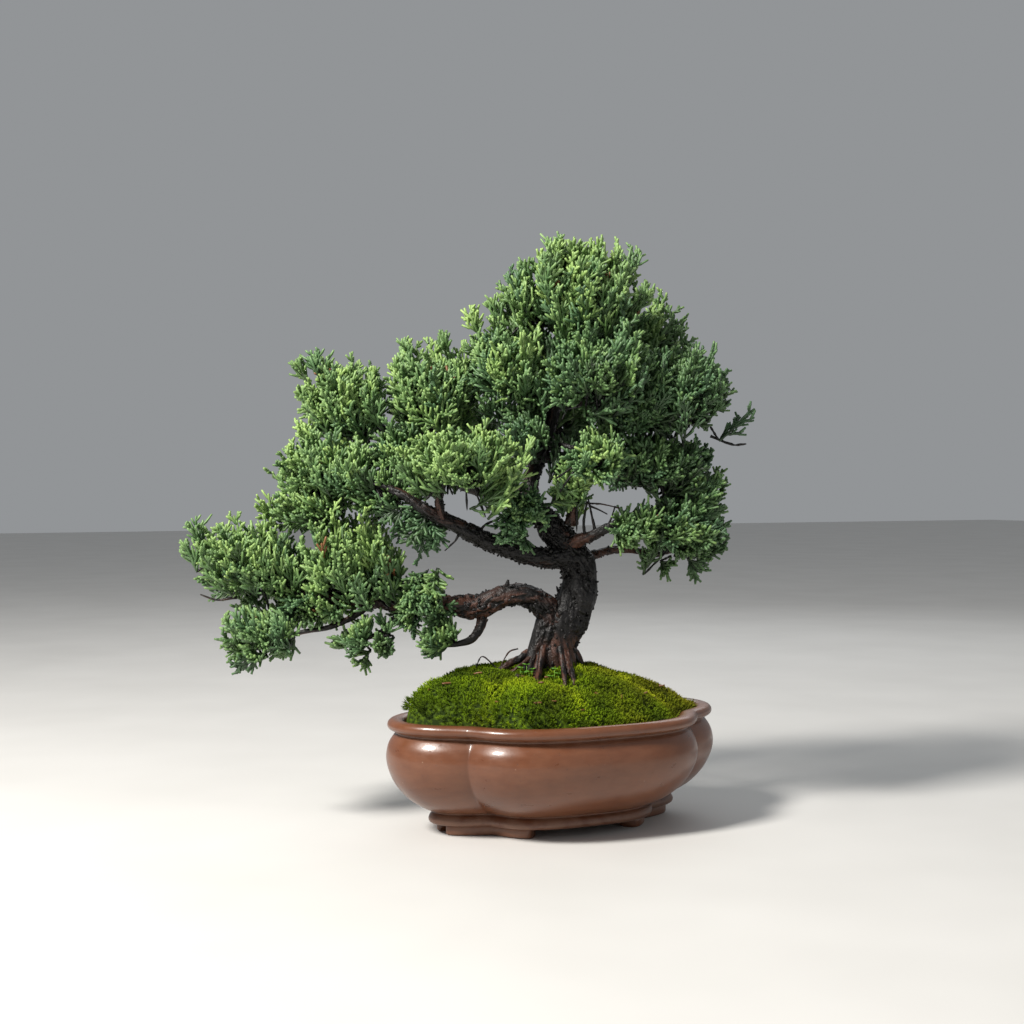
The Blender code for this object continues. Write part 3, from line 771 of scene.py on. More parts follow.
# ------------------------------------------------------------------------ pot
@dataclass
class Pot:
    """The four-lobed pot on bracket feet. Sizes in millimetres."""

    half_length: float = 75.0
    half_width: float = 52.0
    front_lobe_half: float = 56.5
    end_lobe_half: float = 37.0
    front_fullness: float = 2.9
    end_fullness: float = 2.2
    seam_halvings: int = 40
    end_steps: int = 64
    front_steps: int = 96
    drain_reach: float = 24.0
    drain_radius: float = 5.0
    foot_span: tuple[float, float] = (math.radians(4.0), math.radians(47.0))
    foot_insets: tuple[float, float] = (20.4, 28.5)
    foot_height: float = 4.9
    foot_grid: tuple[int, int] = (40, 24)
    foot_squareness: float = 0.42
    foot_softness: float = 3.0
    outer: tuple[Row, ...] = (
        (20.4, 4.0, 3.0), (18.2, 4.6, 3.0), (17.5, 6.2, 3.0), (18.4, 8.2, 3.0), (19.6, 9.2, 2.0),
        (15.6, 10.6, 1.0), (9.6, 14.4, 0.3), (4.3, 20.0, 0.2), (1.0, 26.4, 0.2), (0.0, 32.0, 0.2),
        (0.9, 37.0, 0.3), (3.0, 40.6, 1.0), (4.4, 42.0, 2.0), (2.6, 42.8, 3.0), (0.9, 44.0, 3.0),
        (0.7, 45.8, 3.0), (1.8, 47.2, 3.0), (3.2, 47.6, 3.0),
    )
    inner: tuple[Row, ...] = (
        (6.0, 47.2, 3.0), (7.4, 45.8, 3.0), (8.0, 42.6, 3.0), (5.4, 37.4, 2.0), (4.4, 32.0, 2.0),
        (6.0, 25.0, 2.0), (10.4, 18.0, 2.5), (15.6, 13.0, 3.0), (21.0, 9.8, 3.0), (23.4, 9.0, 3.0),
    )
    frame: Frame = field(default_factory=Frame)

    def lobes(self, angles: np.ndarray, inset: np.ndarray) -> tuple[np.ndarray, np.ndarray]:
        """Distances to the long lobes and to the end lobes.

        Args:
            angles: Directions.
            inset: How far inside the widest outline.

        Returns:
            The two distances.
        """
        def oval(half_x: np.ndarray, half_y: np.ndarray, fullness: float) -> np.ndarray:
            """Distance to one superellipse."""
            across = np.abs(np.cos(angles) / half_x) ** fullness
            return (across + np.abs(np.sin(angles) / half_y) ** fullness) ** (-1 / fullness)

        front = oval(self.front_lobe_half - inset, self.half_width - inset, self.front_fullness)
        return front, oval(self.half_length - inset, self.end_lobe_half - inset, self.end_fullness)

    def radius(self, angles: np.ndarray, inset: np.ndarray, softness: np.ndarray) -> np.ndarray:
        """The outline's distance in each direction.

        Args:
            angles: Directions.
            inset: How far inside the widest outline.
            softness: How much the lobes' seams are rounded.

        Returns:
            The distances.
        """
        front, end = self.lobes(angles, inset)
        return np.maximum(front, end) + 0.7 * softness * np.log1p(np.exp(-np.abs(front - end) / softness))

    def seam(self, inset: np.ndarray) -> np.ndarray:
        """The angle at which the lobes meet, found by halving.

        Args:
            inset: How far inside the widest outline.

        Returns:
            One angle for each inset, in the first quarter.
        """
        low, high = np.full(inset.shape, 0.05), np.full(inset.shape, math.pi / 2 - 0.05)
        for _ in range(self.seam_halvings):
            middle = (low + high) / 2
            front, end = self.lobes(middle, inset)
            low, high = np.where(end > front, middle, low), np.where(end > front, high, middle)
        return (low + high) / 2

    def wall_angles(self, inset: np.ndarray) -> np.ndarray:
        """Directions round each ring, closest together at the seams.

        Args:
            inset: One inset for each ring.

        Returns:
            (rings, points) angles.
        """
        seam = self.seam(inset)
        ends = (-seam, seam, math.pi - seam, math.pi + seam, 2 * math.pi - seam)
        spans = []
        for start, stop, steps in zip(ends, ends[1:], (self.end_steps, self.front_steps) * 2):
            share = np.arange(steps) / steps
            share = share - 0.11 * np.sin(2 * math.pi * share)
            spans.append(start[:, None] + (stop - start)[:, None] * share)
        return np.concatenate(spans, axis=1)

    def walls(self) -> Shape:
        """The outer and inner walls, lofted from the foot ring to the inner floor.

        Returns:
            The walls, closed at both ends.
        """
        rows = smooth_path(((h, i, 0.0, s) for i, h, s in self.outer + self.inner), 0.85)
        height, inset, softness = rows[:, 0], rows[:, 1], np.maximum(rows[:, 3], 0.12)
        angles = self.wall_angles(inset)
        radius = self.radius(angles, inset[:, None], softness[:, None])
        front, end = self.lobes(angles, inset[:, None])
        seam = np.exp(-np.abs(front - end) / 1.6)
        level = height[:, None] + 0 * angles
        waver = np.stack((np.cos(angles) * 3.1, np.sin(angles) * 3.1, level / 14), -1)
        radius = radius + 0.14 * cloud(waver, 5, 3)
        points = np.stack((radius * np.cos(angles), radius * np.sin(angles), level), -1)
        # The base under the belly and the groove under the lip carry real dust; with the lobe seams they are
        # also darkened as painted shade.
        low = np.clip((12.5 - height) / 6, 0, 1)[:, None] * (inset[:, None] > 12)
        rim = np.clip(1 - np.abs(height - 42.2) / 1.6, 0, 1)[:, None]
        dust = np.broadcast_to(np.clip(0.10 + 0.55 * low + 0.5 * rim, 0, 1), seam.shape)
        recess = np.clip(0.7 * seam + low + rim, 0, 1)
        faces, corners = tube_faces(*angles.shape)
        closed = np.vstack((points.reshape(-1, 3), (0, 0, height[0]), (0, 0, height[-1])))
        shape = Shape()
        shape.add(
            self.frame.pot_to_world(closed), faces, corners,
            dust=np.append(dust.ravel(), (0.5, 0.5)), recess=np.append(recess.ravel(), (1.0, 1.0)),
        )
        return shape

    def foot(self, side_x: int, side_y: int) -> np.ndarray:
        """One bracket foot: a rounded bar bent along the base.

        Args:
            side_x: -1 for left, 1 for right.
            side_y: -1 for front, 1 for back.

        Returns:
            Its grid of points, (steps, turns, 3).
        """
        steps, turns = self.foot_grid
        share = np.linspace(0, 1, steps)
        angles = self.foot_span[0] + (self.foot_span[1] - self.foot_span[0]) * share
        ends = np.minimum(share, 1 - share) * 2
        shrink = (1 - (1 - np.clip(ends * 5, 0, 1)) ** 2) ** 0.5 * 0.35 + 0.65
        around = np.linspace(0, 2 * math.pi, turns, endpoint=False)
        wave = np.stack((np.cos(around), np.sin(around)))
        across, up = np.sign(wave) * np.abs(wave) ** self.foot_squareness
        middle, half = sum(self.foot_insets) / 2, (self.foot_insets[1] - self.foot_insets[0]) / 2
        inset = middle - half * across[None, :] * shrink[:, None]
        height = self.foot_height / 2 * (1 + up)[None, :] * np.ones((steps, 1))
        radius = self.radius(angles[:, None] + 0 * inset, inset, np.full(inset.shape, self.foot_softness))
        x, y = radius * np.cos(angles)[:, None] * side_x, radius * np.sin(angles)[:, None] * side_y
        points = np.stack((x, y, height), -1)
        return points if side_x * side_y > 0 else points[::-1]

    def build(self, material: bpy.types.Material) -> bpy.types.Object:
        """Make the pot.

        Args:
            material: The fired clay.

        Returns:
            The pot.
        """
        shape = self.walls()
        body = shape.build("pot_body", material)
        for side in (-1, 1):
            self.drill(body, side)
        settle(body, "stoneware", "pot")
        feet = Shape()
        for index, (side_x, side_y) in enumerate(itertools.product((-1, 1), repeat=2)):
            grid = self.foot(side_x, side_y)
            faces, corners = tube_faces(*grid.shape[:2])
            points = np.vstack((grid.reshape(-1, 3), grid[0].mean(0), grid[-1].mean(0)))
            cell = np.array((index % 2, index // 2)) * 0.5
            # The feet take an even light dust and a little painted shade.
            dust, recess = np.full(len(points), 0.4), np.full(len(points), 0.2)
            feet.add(self.frame.pot_to_world(points), faces, corners * 0.49 + cell, dust=dust, recess=recess)
        settle(feet.build("pot_feet", material), "stoneware")
        return body

    def drill(self, body: bpy.types.Object, side: int) -> None:
        """Cut one drain hole through the floor.

        Args:
            body: The pot.
            side: -1 for left, 1 for right.
        """
        bpy.ops.mesh.primitive_cylinder_add(vertices=64, radius=self.drain_radius * MM, depth=14 * MM)
        bit = bpy.context.object
        bit.location = Vector(self.frame.pot_to_world(np.array((side * self.drain_reach, 0.0, 6.5))))
        bpy.context.view_layer.update()
        cut = body.modifiers.new("drain", "BOOLEAN")
        cut.operation = "DIFFERENCE"
        cut.solver = "EXACT"
        cut.object = bit
        bpy.context.view_layer.objects.active = body
        bpy.ops.object.modifier_apply(modifier=cut.name)
        bpy.data.objects.remove(bit)


# ----------------------------------------------------------------------- moss
@dataclass
class MossBed:
    """The moss over the soil: a mound thick with small shoots."""

    pot: Pot
    edge: float = 43.6
    crest: float = 66.5
    dip: float = 5.5
    inset: float = 8.4
    tucked: float = 2.6
    rings: int = 96
    sides: int = 260
    shoots: int = 13000
    leaves: int = 7
    leaf_turn: float = 2.4
    slope_step: float = 0.4

    def reach(self, places: np.ndarray) -> np.ndarray:
        """How far out places lie, 1 at the rim.

        Args:
            places: (n, 2) millimetres from the pot's middle.

        Returns:
            The shares.
        """
        angles = np.arctan2(places[..., 1], places[..., 0])
        return np.linalg.norm(places, axis=-1) / self.rim(angles)

    def rim(self, angles: np.ndarray) -> np.ndarray:
        """Distances to the bed's edge in some directions."""
        return self.pot.radius(angles, np.full(angles.shape, self.inset), np.full(angles.shape, 3.0))

    def height(self, places: np.ndarray) -> np.ndarray:
        """The mound's height.

        Args:
            places: (n, 2) millimetres from the pot's middle.

        Returns:
            Heights above the floor.
        """
        reach = np.clip(self.reach(places), 0, 1)
        flat = np.concatenate((places, np.zeros((*places.shape[:-1], 1))), -1)
        tree = self.pot.frame.from_world(self.pot.frame.pot_to_world(flat))
        leftward = np.clip(-tree[..., 0] / 60, -0.45, 1)
        swell = (1 - reach ** (2.6 + 2.2 * leftward)) ** (0.72 - 0.24 * leftward)
        dome = self.edge + (self.crest - self.edge) * swell
        dome = dome - self.dip * np.exp(-(((tree[..., 0] + 1) / 14) ** 2) - ((tree[..., 1] + 19) / 10) ** 2)
        lumps = cloud(flat / 17.0, 11, 2) * 1.3 + cloud(flat / 5.5, 12, 2) * 0.8
        return dome + lumps * np.clip((1 - reach) * 9 + 0.25, 0, 1)

    def mound(self) -> Shape:
        """The bed under the shoots.

        Returns:
            The bed, with its edge tucked under.
        """
        share = np.sin(np.linspace(0.02, math.pi / 2, self.rings))[::-1]
        angles = np.linspace(0, 2 * math.pi, self.sides, endpoint=False)
        out = share[:, None] * self.rim(angles)
        flat = np.stack((out * np.cos(angles), out * np.sin(angles)), -1)
        height = self.height(flat)
        below = self.edge - self.tucked
        tuck = np.concatenate((flat[:1], np.full((1, self.sides, 1), below)), -1)
        grid = np.concatenate((tuck, np.concatenate((flat, height[..., None]), -1)))
        grain = cloud(grid / 0.9, 14, 2)
        grid[1:, :, 2] += 0.35 * grain[1:]
        faces, corners = tube_faces(self.rings + 1, self.sides)
        points = np.vstack((grid.reshape(-1, 3), (0, 0, below), (0, 0, grid[-1, :, 2].mean())))
        shape = Shape()
        growth = np.append(np.clip(0.10 + 0.16 * grain.ravel(), 0, 1), (0, 0.2))
        shape.add(self.pot.frame.pot_to_world(points), faces, corners, growth=growth, tint=self.tint(points))
        return shape

    @staticmethod
    def tint(points: np.ndarray) -> np.ndarray:
        """How olive the moss is: greenest at the front left.

        Args:
            points: Places in the pot's frame.

        Returns:
            Shares from 0 to 1.
        """
        side = 0.42 + points[:, 0] / 150 + 0.003 * points[:, 1]
        return np.clip(side + 0.34 * cloud(points / (16, 16, 40), 21, 2), 0, 1)

    def shoot_leaves(self, seed: int, front: bool) -> Shape:
        """Shoots over half of the bed.

        Args:
            seed: Picks the shoots.
            front: Whether this is the front half.

        Returns:
            The leaves, each a folded blade of two triangles.
        """
        rng = np.random.default_rng(seed)
        places = rng.uniform(-1, 1, (self.shoots * 3, 2)) * (self.pot.half_length, self.pot.half_width)
        places = places[(self.reach(places) < 0.985) & ((places[:, 1] < 0) == front)][:self.shoots // 2]
        level, step = self.height(places), self.slope_step
        slope_x = (self.height(places + (step, 0)) - level) / step
        slope_y = (self.height(places + (0, step)) - level) / step
        upright = unit(np.stack((-0.7 * slope_x, -0.7 * slope_y, np.ones_like(level)), 1))
        upright = unit(upright + rng.normal(0, 0.22, upright.shape))
        fringe = np.clip((self.reach(places) - 0.90) / 0.07, 0, 1) * (rng.random(len(places)) < 0.5)
        base = np.concatenate((places, level[:, None] - 0.5), 1)
        patch = np.clip(0.62 + 0.36 * cloud(base * (1, 1, 0) / 9.0, 33, 2), 0.15, 1.0)
        tall = (0.9 + 0.9 * rng.random(len(places))) * (0.7 + 0.5 * patch) * (1 + 0.7 * fringe)
        return self.blades(base, upright, tall, fringe, patch, rng)

    def blades(
        self, base: np.ndarray, upright: np.ndarray, tall: np.ndarray, fringe: np.ndarray,
        patch: np.ndarray, rng: np.random.Generator,
    ) -> Shape:
        """Leaves that spiral up some shoots.

        Args:
            base: Where each shoot stands.
            upright: Which way it grows.
            tall: Its height.
            fringe: How much it hangs over the rim, 0 to 1.
            patch: How well it grows, 0 to 1.
            rng: Random numbers.

        Returns:
            The leaves.
        """
        turn = rng.uniform(0, 2 * math.pi, (len(base), 1)) + np.arange(self.leaves) * self.leaf_turn
        side = unit(np.cross(upright, (0.31, 0.2, 0.93)))
        other = np.cross(upright, side)
        wheel = side[:, None] * np.cos(turn)[..., None] + other[:, None] * np.sin(turn)[..., None]
        share = np.linspace(0.25, 1.0, self.leaves)[None, :]
        spread = (1.15 - 0.75 * share)[..., None] * (1 - 0.45 * fringe)[:, None, None]
        aim = unit(upright[:, None] * (0.55 + 0.6 * share[..., None]) + wheel * spread)
        foot = base[:, None] + upright[:, None] * (tall[:, None] * share)[..., None]
        length = (0.95 + 0.5 * rng.random(turn.shape)) * (1 + fringe[:, None])
        tip = foot + aim * length[..., None]
        width = (0.17 + 0.05 * rng.random(turn.shape))[..., None]
        across = unit(np.cross(aim, upright[:, None] + 1e-3)) * width
        middle = foot * 0.6 + tip * 0.4 - upright[:, None] * 0.06
        quad = np.stack((foot, middle - across, middle + across, tip), 2).reshape(-1, 3)
        count = len(quad) // 4
        faces = (np.arange(count)[:, None, None] * 4 + np.array(((0, 2, 1), (1, 2, 3)))).reshape(-1, 3)
        cells = CellMap(count)
        low, right, left, high = (0.5, 0.0), (1.0, 0.45), (0.0, 0.45), (0.5, 1.0)
        local = np.array(((low, right, left), (left, right, high)))
        corners = (cells.take(count)[:, None, None] + local[None] * cells.size).reshape(-1, 3, 2)
        glow = (patch[:, None] * (0.75 + 0.35 * share) * (1 - 0.5 * fringe[:, None]))[..., None]
        growth = (glow * np.array((0.30, 0.62, 0.62, 1.0))).ravel()
        tint = np.repeat(self.tint(base), self.leaves * 4)
        shape = Shape()
        shape.add(self.pot.frame.pot_to_world(quad), faces, corners, growth=growth, tint=tint)
        return shape

    def build(self, material: bpy.types.Material) -> None:
        """Make the moss.

        Args:
            material: The moss finish.
        """
        settle(self.mound().build("moss_mound", material), "moss", "moss")
        for seed, front in ((41, True), (42, False)):
            name = "moss_shoots_front" if front else "moss_shoots_back"
            settle(self.shoot_leaves(seed, front).build(name, material, smooth=False), "moss")


# ----------------------------------------------------------------------- wood
# Each path's rows: across, away, up and radius, in the tree's frame.
TRUNK: tuple[Row, ...] = (
    (-0.7, 0.0, 50.0, 8.6), (-0.7, 0.0, 58.0, 9.4), (-0.5, 0.0, 66.0, 9.2), (0.0, 0.0, 74.0, 9.0),
    (2.3, 0.0, 81.5, 9.0), (6.5, 0.0, 89.3, 8.7), (9.5, 0.0, 96.2, 7.8), (10.4, 0.0, 103.0, 6.8),
    (9.5, 0.0, 109.0, 7.1), (6.5, 0.0, 114.8, 7.0), (2.3, 0.0, 120.8, 6.3), (-2.8, 0.0, 127.0, 5.2),
    (-7.5, 0.0, 133.0, 4.0), (-10.3, 1.0, 139.0, 3.6), (-9.6, 3.0, 146.2, 3.2), (-5.7, 5.0, 156.0, 2.9),
    (-2.3, 6.0, 166.7, 2.6), (0.7, 6.0, 178.3, 2.3), (4.1, 6.0, 189.0, 2.0), (4.1, 5.0, 201.0, 1.7),
    (1.5, 4.0, 214.3, 1.3), (0.5, 3.0, 227.0, 0.9), (0.8, 3.0, 237.0, 0.5),
)
ROOTS: tuple[tuple[Row, ...], ...] = (
    ((-3.6, -5.0, 76.0, 2.6), (-6.0, -9.0, 70.0, 2.0), (-7.6, -13.0, 65.0, 1.8), (-8.6, -17.0, 56.0, 1.3)),
    ((1.6, -5.0, 77.0, 2.4), (3.8, -9.0, 70.5, 2.0), (6.0, -12.5, 65.0, 1.8), (7.6, -15.5, 56.0, 1.3)),
    ((-6.0, -3.0, 75.0, 2.4), (-13.0, -6.0, 71.0, 1.7), (-20.5, -8.5, 67.4, 1.4), (-28.0, -11.0, 62.0, 0.9)),
    (
        (1.0, -3.0, 90.0, 4.6), (-3.0, -4.5, 83.0, 4.8), (-6.5, -5.5, 76.0, 4.0), (-9.5, -7.0, 69.0, 3.0),
        (-12.0, -8.5, 60.0, 2.2),
    ),
    ((0.0, 6.0, 76.0, 2.8), (2.0, 12.0, 69.0, 2.2), (4.0, 18.0, 61.0, 1.8), (5.0, 21.0, 54.0, 1.2)),
    ((6.0, 2.0, 74.0, 2.6), (10.5, 4.0, 67.0, 2.0), (14.5, 5.5, 60.0, 1.6), (17.0, 6.5, 53.0, 1.1)),
)
LIMBS: dict[str, tuple[Row, ...]] = {
    "low_left_limb": (
        (0.5, -2.0, 86.0, 5.2), (-2.9, -4.0, 90.2, 5.0), (-7.2, -6.0, 94.6, 4.7), (-13.1, -8.0, 97.0, 4.5),
        (-19.8, -9.0, 96.9, 4.3), (-26.1, -9.0, 94.8, 4.6), (-31.5, -8.0, 92.6, 4.7),
        (-37.4, -8.0, 92.2, 4.4), (-42.8, -9.0, 92.8, 3.9), (-52.4, -10.0, 92.6, 3.2),
        (-65.0, -12.0, 93.2, 2.7), (-78.0, -13.0, 94.5, 2.3), (-92.0, -14.0, 95.8, 1.9),
        (-105.4, -15.0, 97.6, 1.5), (-119.6, -14.0, 101.7, 1.1), (-132.0, -12.0, 107.8, 0.7),
    ),
    "hanging_twig": (
        (-30.4, -8.0, 92.0, 2.2), (-30.8, -8.2, 86.0, 2.0), (-32.4, -10.0, 82.1, 1.8),
        (-35.6, -12.0, 78.5, 1.6), (-40.6, -13.0, 77.0, 1.2), (-46.0, -14.0, 76.6, 0.9),
    ),
    "low_left_fork": (
        (-75.0, -12.8, 95.0, 1.6), (-84.6, -15.0, 88.4, 1.3), (-93.5, -17.0, 84.4, 1.15),
        (-102.5, -18.0, 82.9, 1.0), (-112.5, -18.0, 80.5, 0.8), (-121.0, -17.5, 76.0, 0.6),
    ),
    "left_hanging_twig": (
        (-62.0, -11.6, 93.6, 1.4), (-67.0, -14.0, 87.5, 1.2), (-73.0, -15.6, 82.0, 1.0),
        (-80.0, -16.5, 79.0, 0.7),
    ),
    "mid_left_limb": (
        (7.0, -1.0, 113.0, 4.6), (-2.1, -4.0, 112.6, 4.3), (-10.5, -6.0, 113.8, 4.1),
        (-18.9, -8.0, 116.0, 3.9), (-26.9, -10.0, 119.0, 3.7), (-34.3, -13.0, 122.6, 3.5),
        (-41.7, -16.0, 126.9, 3.1), (-48.6, -19.0, 130.1, 2.8), (-55.0, -21.0, 134.0, 2.2),
        (-63.0, -20.0, 139.2, 1.7), (-74.0, -16.0, 144.0, 1.3), (-87.0, -8.0, 147.0, 1.0),
        (-99.0, -2.0, 149.0, 0.6),
    ),
    "front_twig": (
        (-47.5, -18.8, 129.8, 2.0), (-48.0, -23.0, 138.0, 1.6), (-45.0, -27.0, 146.0, 1.2),
        (-38.0, -29.0, 152.5, 0.8),
    ),
    "upper_left_limb": (
        (-9.5, 1.0, 136.5, 3.4), (-17.2, 6.0, 140.4, 3.1), (-25.4, 9.0, 141.3, 2.8),
        (-33.6, 12.0, 141.4, 2.6), (-42.8, 14.0, 145.0, 2.3), (-53.7, 15.0, 152.3, 2.0),
        (-65.9, 16.0, 161.4, 1.7), (-78.1, 17.0, 171.0, 1.3), (-92.0, 17.0, 179.0, 0.8),
    ),
    "upper_left_fork": (
        (-50.0, 14.6, 149.4, 1.6), (-52.5, 14.6, 160.0, 1.4), (-53.5, 14.6, 171.0, 1.1),
        (-53.0, 14.6, 182.0, 0.7),
    ),
    "right_lower_limb": (
        (10.0, 2.0, 111.5, 2.3), (17.0, 6.5, 113.4, 2.0), (25.9, 11.0, 115.2, 1.6), (32.2, 14.0, 115.2, 1.5),
        (38.4, 16.0, 114.1, 1.35), (46.0, 18.0, 113.2, 1.2), (58.0, 20.0, 116.0, 0.8),
    ),
    "right_upper_limb": (
        (3.6, -2.0, 117.0, 3.0), (9.7, -6.0, 119.8, 2.7), (14.6, -8.0, 121.4, 2.3),
        (19.5, -10.0, 124.0, 2.0), (25.3, -11.0, 127.0, 1.7), (31.9, -12.0, 129.9, 1.5),
        (41.5, -10.0, 131.0, 1.2), (54.0, -4.0, 131.0, 0.8),
    ),
    "crown_right_limb": (
        (0.4, 6.0, 177.0, 2.2), (10.0, 5.0, 178.4, 1.9), (21.4, 3.0, 179.4, 1.7), (34.1, 2.0, 180.4, 1.4),
        (47.0, 2.0, 180.8, 1.1), (60.0, 2.0, 180.4, 0.7),
    ),
    "crown_left_twig": (
        (1.6, 6.0, 181.6, 1.8), (-6.0, 6.0, 187.0, 1.5), (-14.0, 5.2, 191.6, 1.2), (-23.0, 4.6, 197.0, 0.8),
    ),
    "crown_front_twig": (
        (2.4, 5.6, 184.0, 1.6), (5.0, -3.0, 185.4, 1.4), (9.0, -11.0, 187.6, 1.1), (14.0, -21.0, 190.0, 0.7),
    ),
    "crown_low_limb": (
        (-6.0, 4.8, 155.0, 2.2), (6.0, 5.0, 155.6, 1.9), (18.0, 4.0, 155.4, 1.6), (30.0, 2.0, 155.2, 1.2),
        (42.0, 1.0, 155.2, 0.8),
    ),
    "pale_twig": (
        (-4.6, 4.6, 158.6, 1.4), (1.0, -4.0, 160.0, 1.2), (8.0, -12.0, 158.5, 1.0), (17.0, -19.0, 154.5, 0.7),
    ),
    "back_limb": (
        (-9.4, 3.2, 147.0, 2.6), (-8.0, 13.0, 151.0, 2.3), (-3.0, 24.0, 160.0, 1.9), (1.0, 34.0, 170.0, 1.5),
        (3.0, 44.0, 180.0, 1.0),
    ),
    "back_left_limb": (
        (-7.6, 14.6, 152.0, 1.8), (-15.0, 23.0, 156.0, 1.5), (-23.0, 31.0, 161.0, 1.2),
        (-35.0, 41.0, 164.0, 0.8),
    ),
    "back_right_limb": (
        (3.0, 6.2, 186.0, 1.9), (12.0, 15.0, 191.0, 1.6), (24.0, 26.0, 197.0, 1.2), (37.0, 36.0, 203.0, 0.8),
    ),
}


@dataclass
class Wood:
    """The trunk, its roots and its limbs, skinned with fibrous bark."""

    frame: Frame
    facet: float = 0.36
    step: float = 0.55
    twist: float = 0.045
    whole: float = -0.45
    shed: float = 0.35
    thin_root: float = 2.7
    trunk_share: float = 0.7
    peeling: ClassVar[dict[str, float]] = {"low_left_limb": 0.15, "hanging_twig": 0.3}

    def skin(
        self, shape: Shape, rows: Sequence[Row], seed: int, flare: float, peel: float,
        cell: Row = (0, 0, 1, 1),
    ) -> None:
        """Add one stretch of wood.

        Args:
            shape: What it is added to.
            rows: Across, away, up and radius, in the tree's frame.
            seed: Picks its bark.
            flare: How much it widens where it leaves its parent.
            peel: How much of its bark has shed, from -1 to 1.
            cell: The part of the finish's map it takes: left, bottom, width, height.
        """
        line = smooth_path(rows, self.step)
        radius = line[:, 3]
        along = np.arange(len(line)) * self.step
        radius = radius * (1 + flare * np.exp(-along / (1.6 * radius[0])))
        sides = int(np.clip(2 * math.pi * radius.max() / self.facet, 12, 128))
        around = np.linspace(0, 2 * math.pi, sides, endpoint=False)
        turned = around[None, :] + self.twist * along[:, None]
        ring = np.stack((np.cos(turned), np.sin(turned)), -1)
        relief, numbers = self.layers(ring, radius, along, seed, peel)
        first, second = carried_frames(line[:, :3])
        out = first[:, None] * np.cos(around)[:, None] + second[:, None] * np.sin(around)[:, None]
        grid = line[:, None, :3] + out * (radius[:, None] + relief)[..., None]
        faces, corners = tube_faces(len(line), sides)
        points = np.vstack((grid.reshape(-1, 3), line[:1, :3], line[-1:, :3]))
        kept = {name: np.append(values.ravel(), (0.5, 0.5)) for name, values in numbers.items()}
        shape.add(self.frame.to_world(points), faces, corners * cell[2:] + cell[:2], **kept)

    @staticmethod
    def layers(
        ring: np.ndarray, radius: np.ndarray, along: np.ndarray, seed: int, peel: float,
    ) -> tuple[np.ndarray, dict[str, np.ndarray]]:
        """The bark's layers: lumps, ridges, plates, fibres and crust.

        Args:
            ring: (rings, sides, 2) directions round the wood.
            radius: (rings,) radii.
            along: (rings,) distances from its start.
            seed: Picks the bark.
            peel: How much of it has shed, from -1 to 1.

        Returns:
            How far each point stands out, and the numbers that the finish reads.
        """
        length = along[:, None, None] + 0 * ring[..., :1] + 40.0 * seed

        def layer(round_: np.ndarray, grain: float, offset: int, octaves: int) -> np.ndarray:
            """One layer, drawn out along the wood by its grain."""
            return cloud(np.concatenate((round_, length / grain), -1), seed + offset, octaves)

        thick, depth = ring * radius[:, None, None], np.minimum(radius, 7.0)[:, None]
        fibre, lumps = layer(thick / 0.75, 6.5, 0, 3), layer(ring * 0.9, 10.0, 19, 2)
        ridge = 0.3 - np.abs(layer(thick / 1.7, 11.0, 7, 2))
        flake = np.clip(layer(thick / 3.0, 6.0, 13, 2) * 4, -1, 1)
        crust = np.clip(layer(thick / 1.15, 1.35, 29, 2) * 2.2, -1, 1)
        crust = crust * np.clip(0.35 + layer(ring, 12.0, 31, 1), 0, 1)
        relief = depth * (0.13 * lumps + 0.050 * ridge + 0.035 * flake + 0.025 * fibre)
        numbers = {
            "fibre": 0.5 + 0.5 * fibre,
            "relief": np.clip(0.4 + 0.8 * ridge + 0.15 * flake + 0.25 * crust, 0, 1),
            "peeled": np.clip(layer(ring * 0.6, 16.0, 23, 2) * 1.6 + 0.5 + peel, 0, 1),
        }
        return relief + (0.16 + 0.11 * depth) * crust, numbers

    def build(self, material: bpy.types.Material) -> None:
        """Make every stretch of wood.

        Args:
            material: The bark.
        """
        trunk = Shape()
        self.skin(trunk, TRUNK, 3, 0.0, self.whole, (0.0, 0.0, self.trunk_share, 1.0))
        left, tall = self.trunk_share + 0.02, 1 / len(ROOTS)
        for index, rows in enumerate(ROOTS):
            peel = self.shed if rows[0][3] < self.thin_root else self.whole
            self.skin(trunk, rows, 50 + index, 0.3, peel, (left, index * tall, 1 - left, 0.95 * tall))
        settle(trunk.build("trunk_wood", material), "bark", "trunk")
        for index, (name, rows) in enumerate(LIMBS.items()):
            limb = Shape()
            self.skin(limb, rows, 70 + 3 * index, 0.22, self.peeling.get(name, self.whole))
            settle(limb.build(name + "_wood", material), "bark", name)


# -------------------------------------------------------------------- foliage
class Habit(Enum):
    """How a mass of foliage grows."""

    SCALE = "scale leaves in dense sprays"
    DROOPING = "longer, looser sprays that hang"


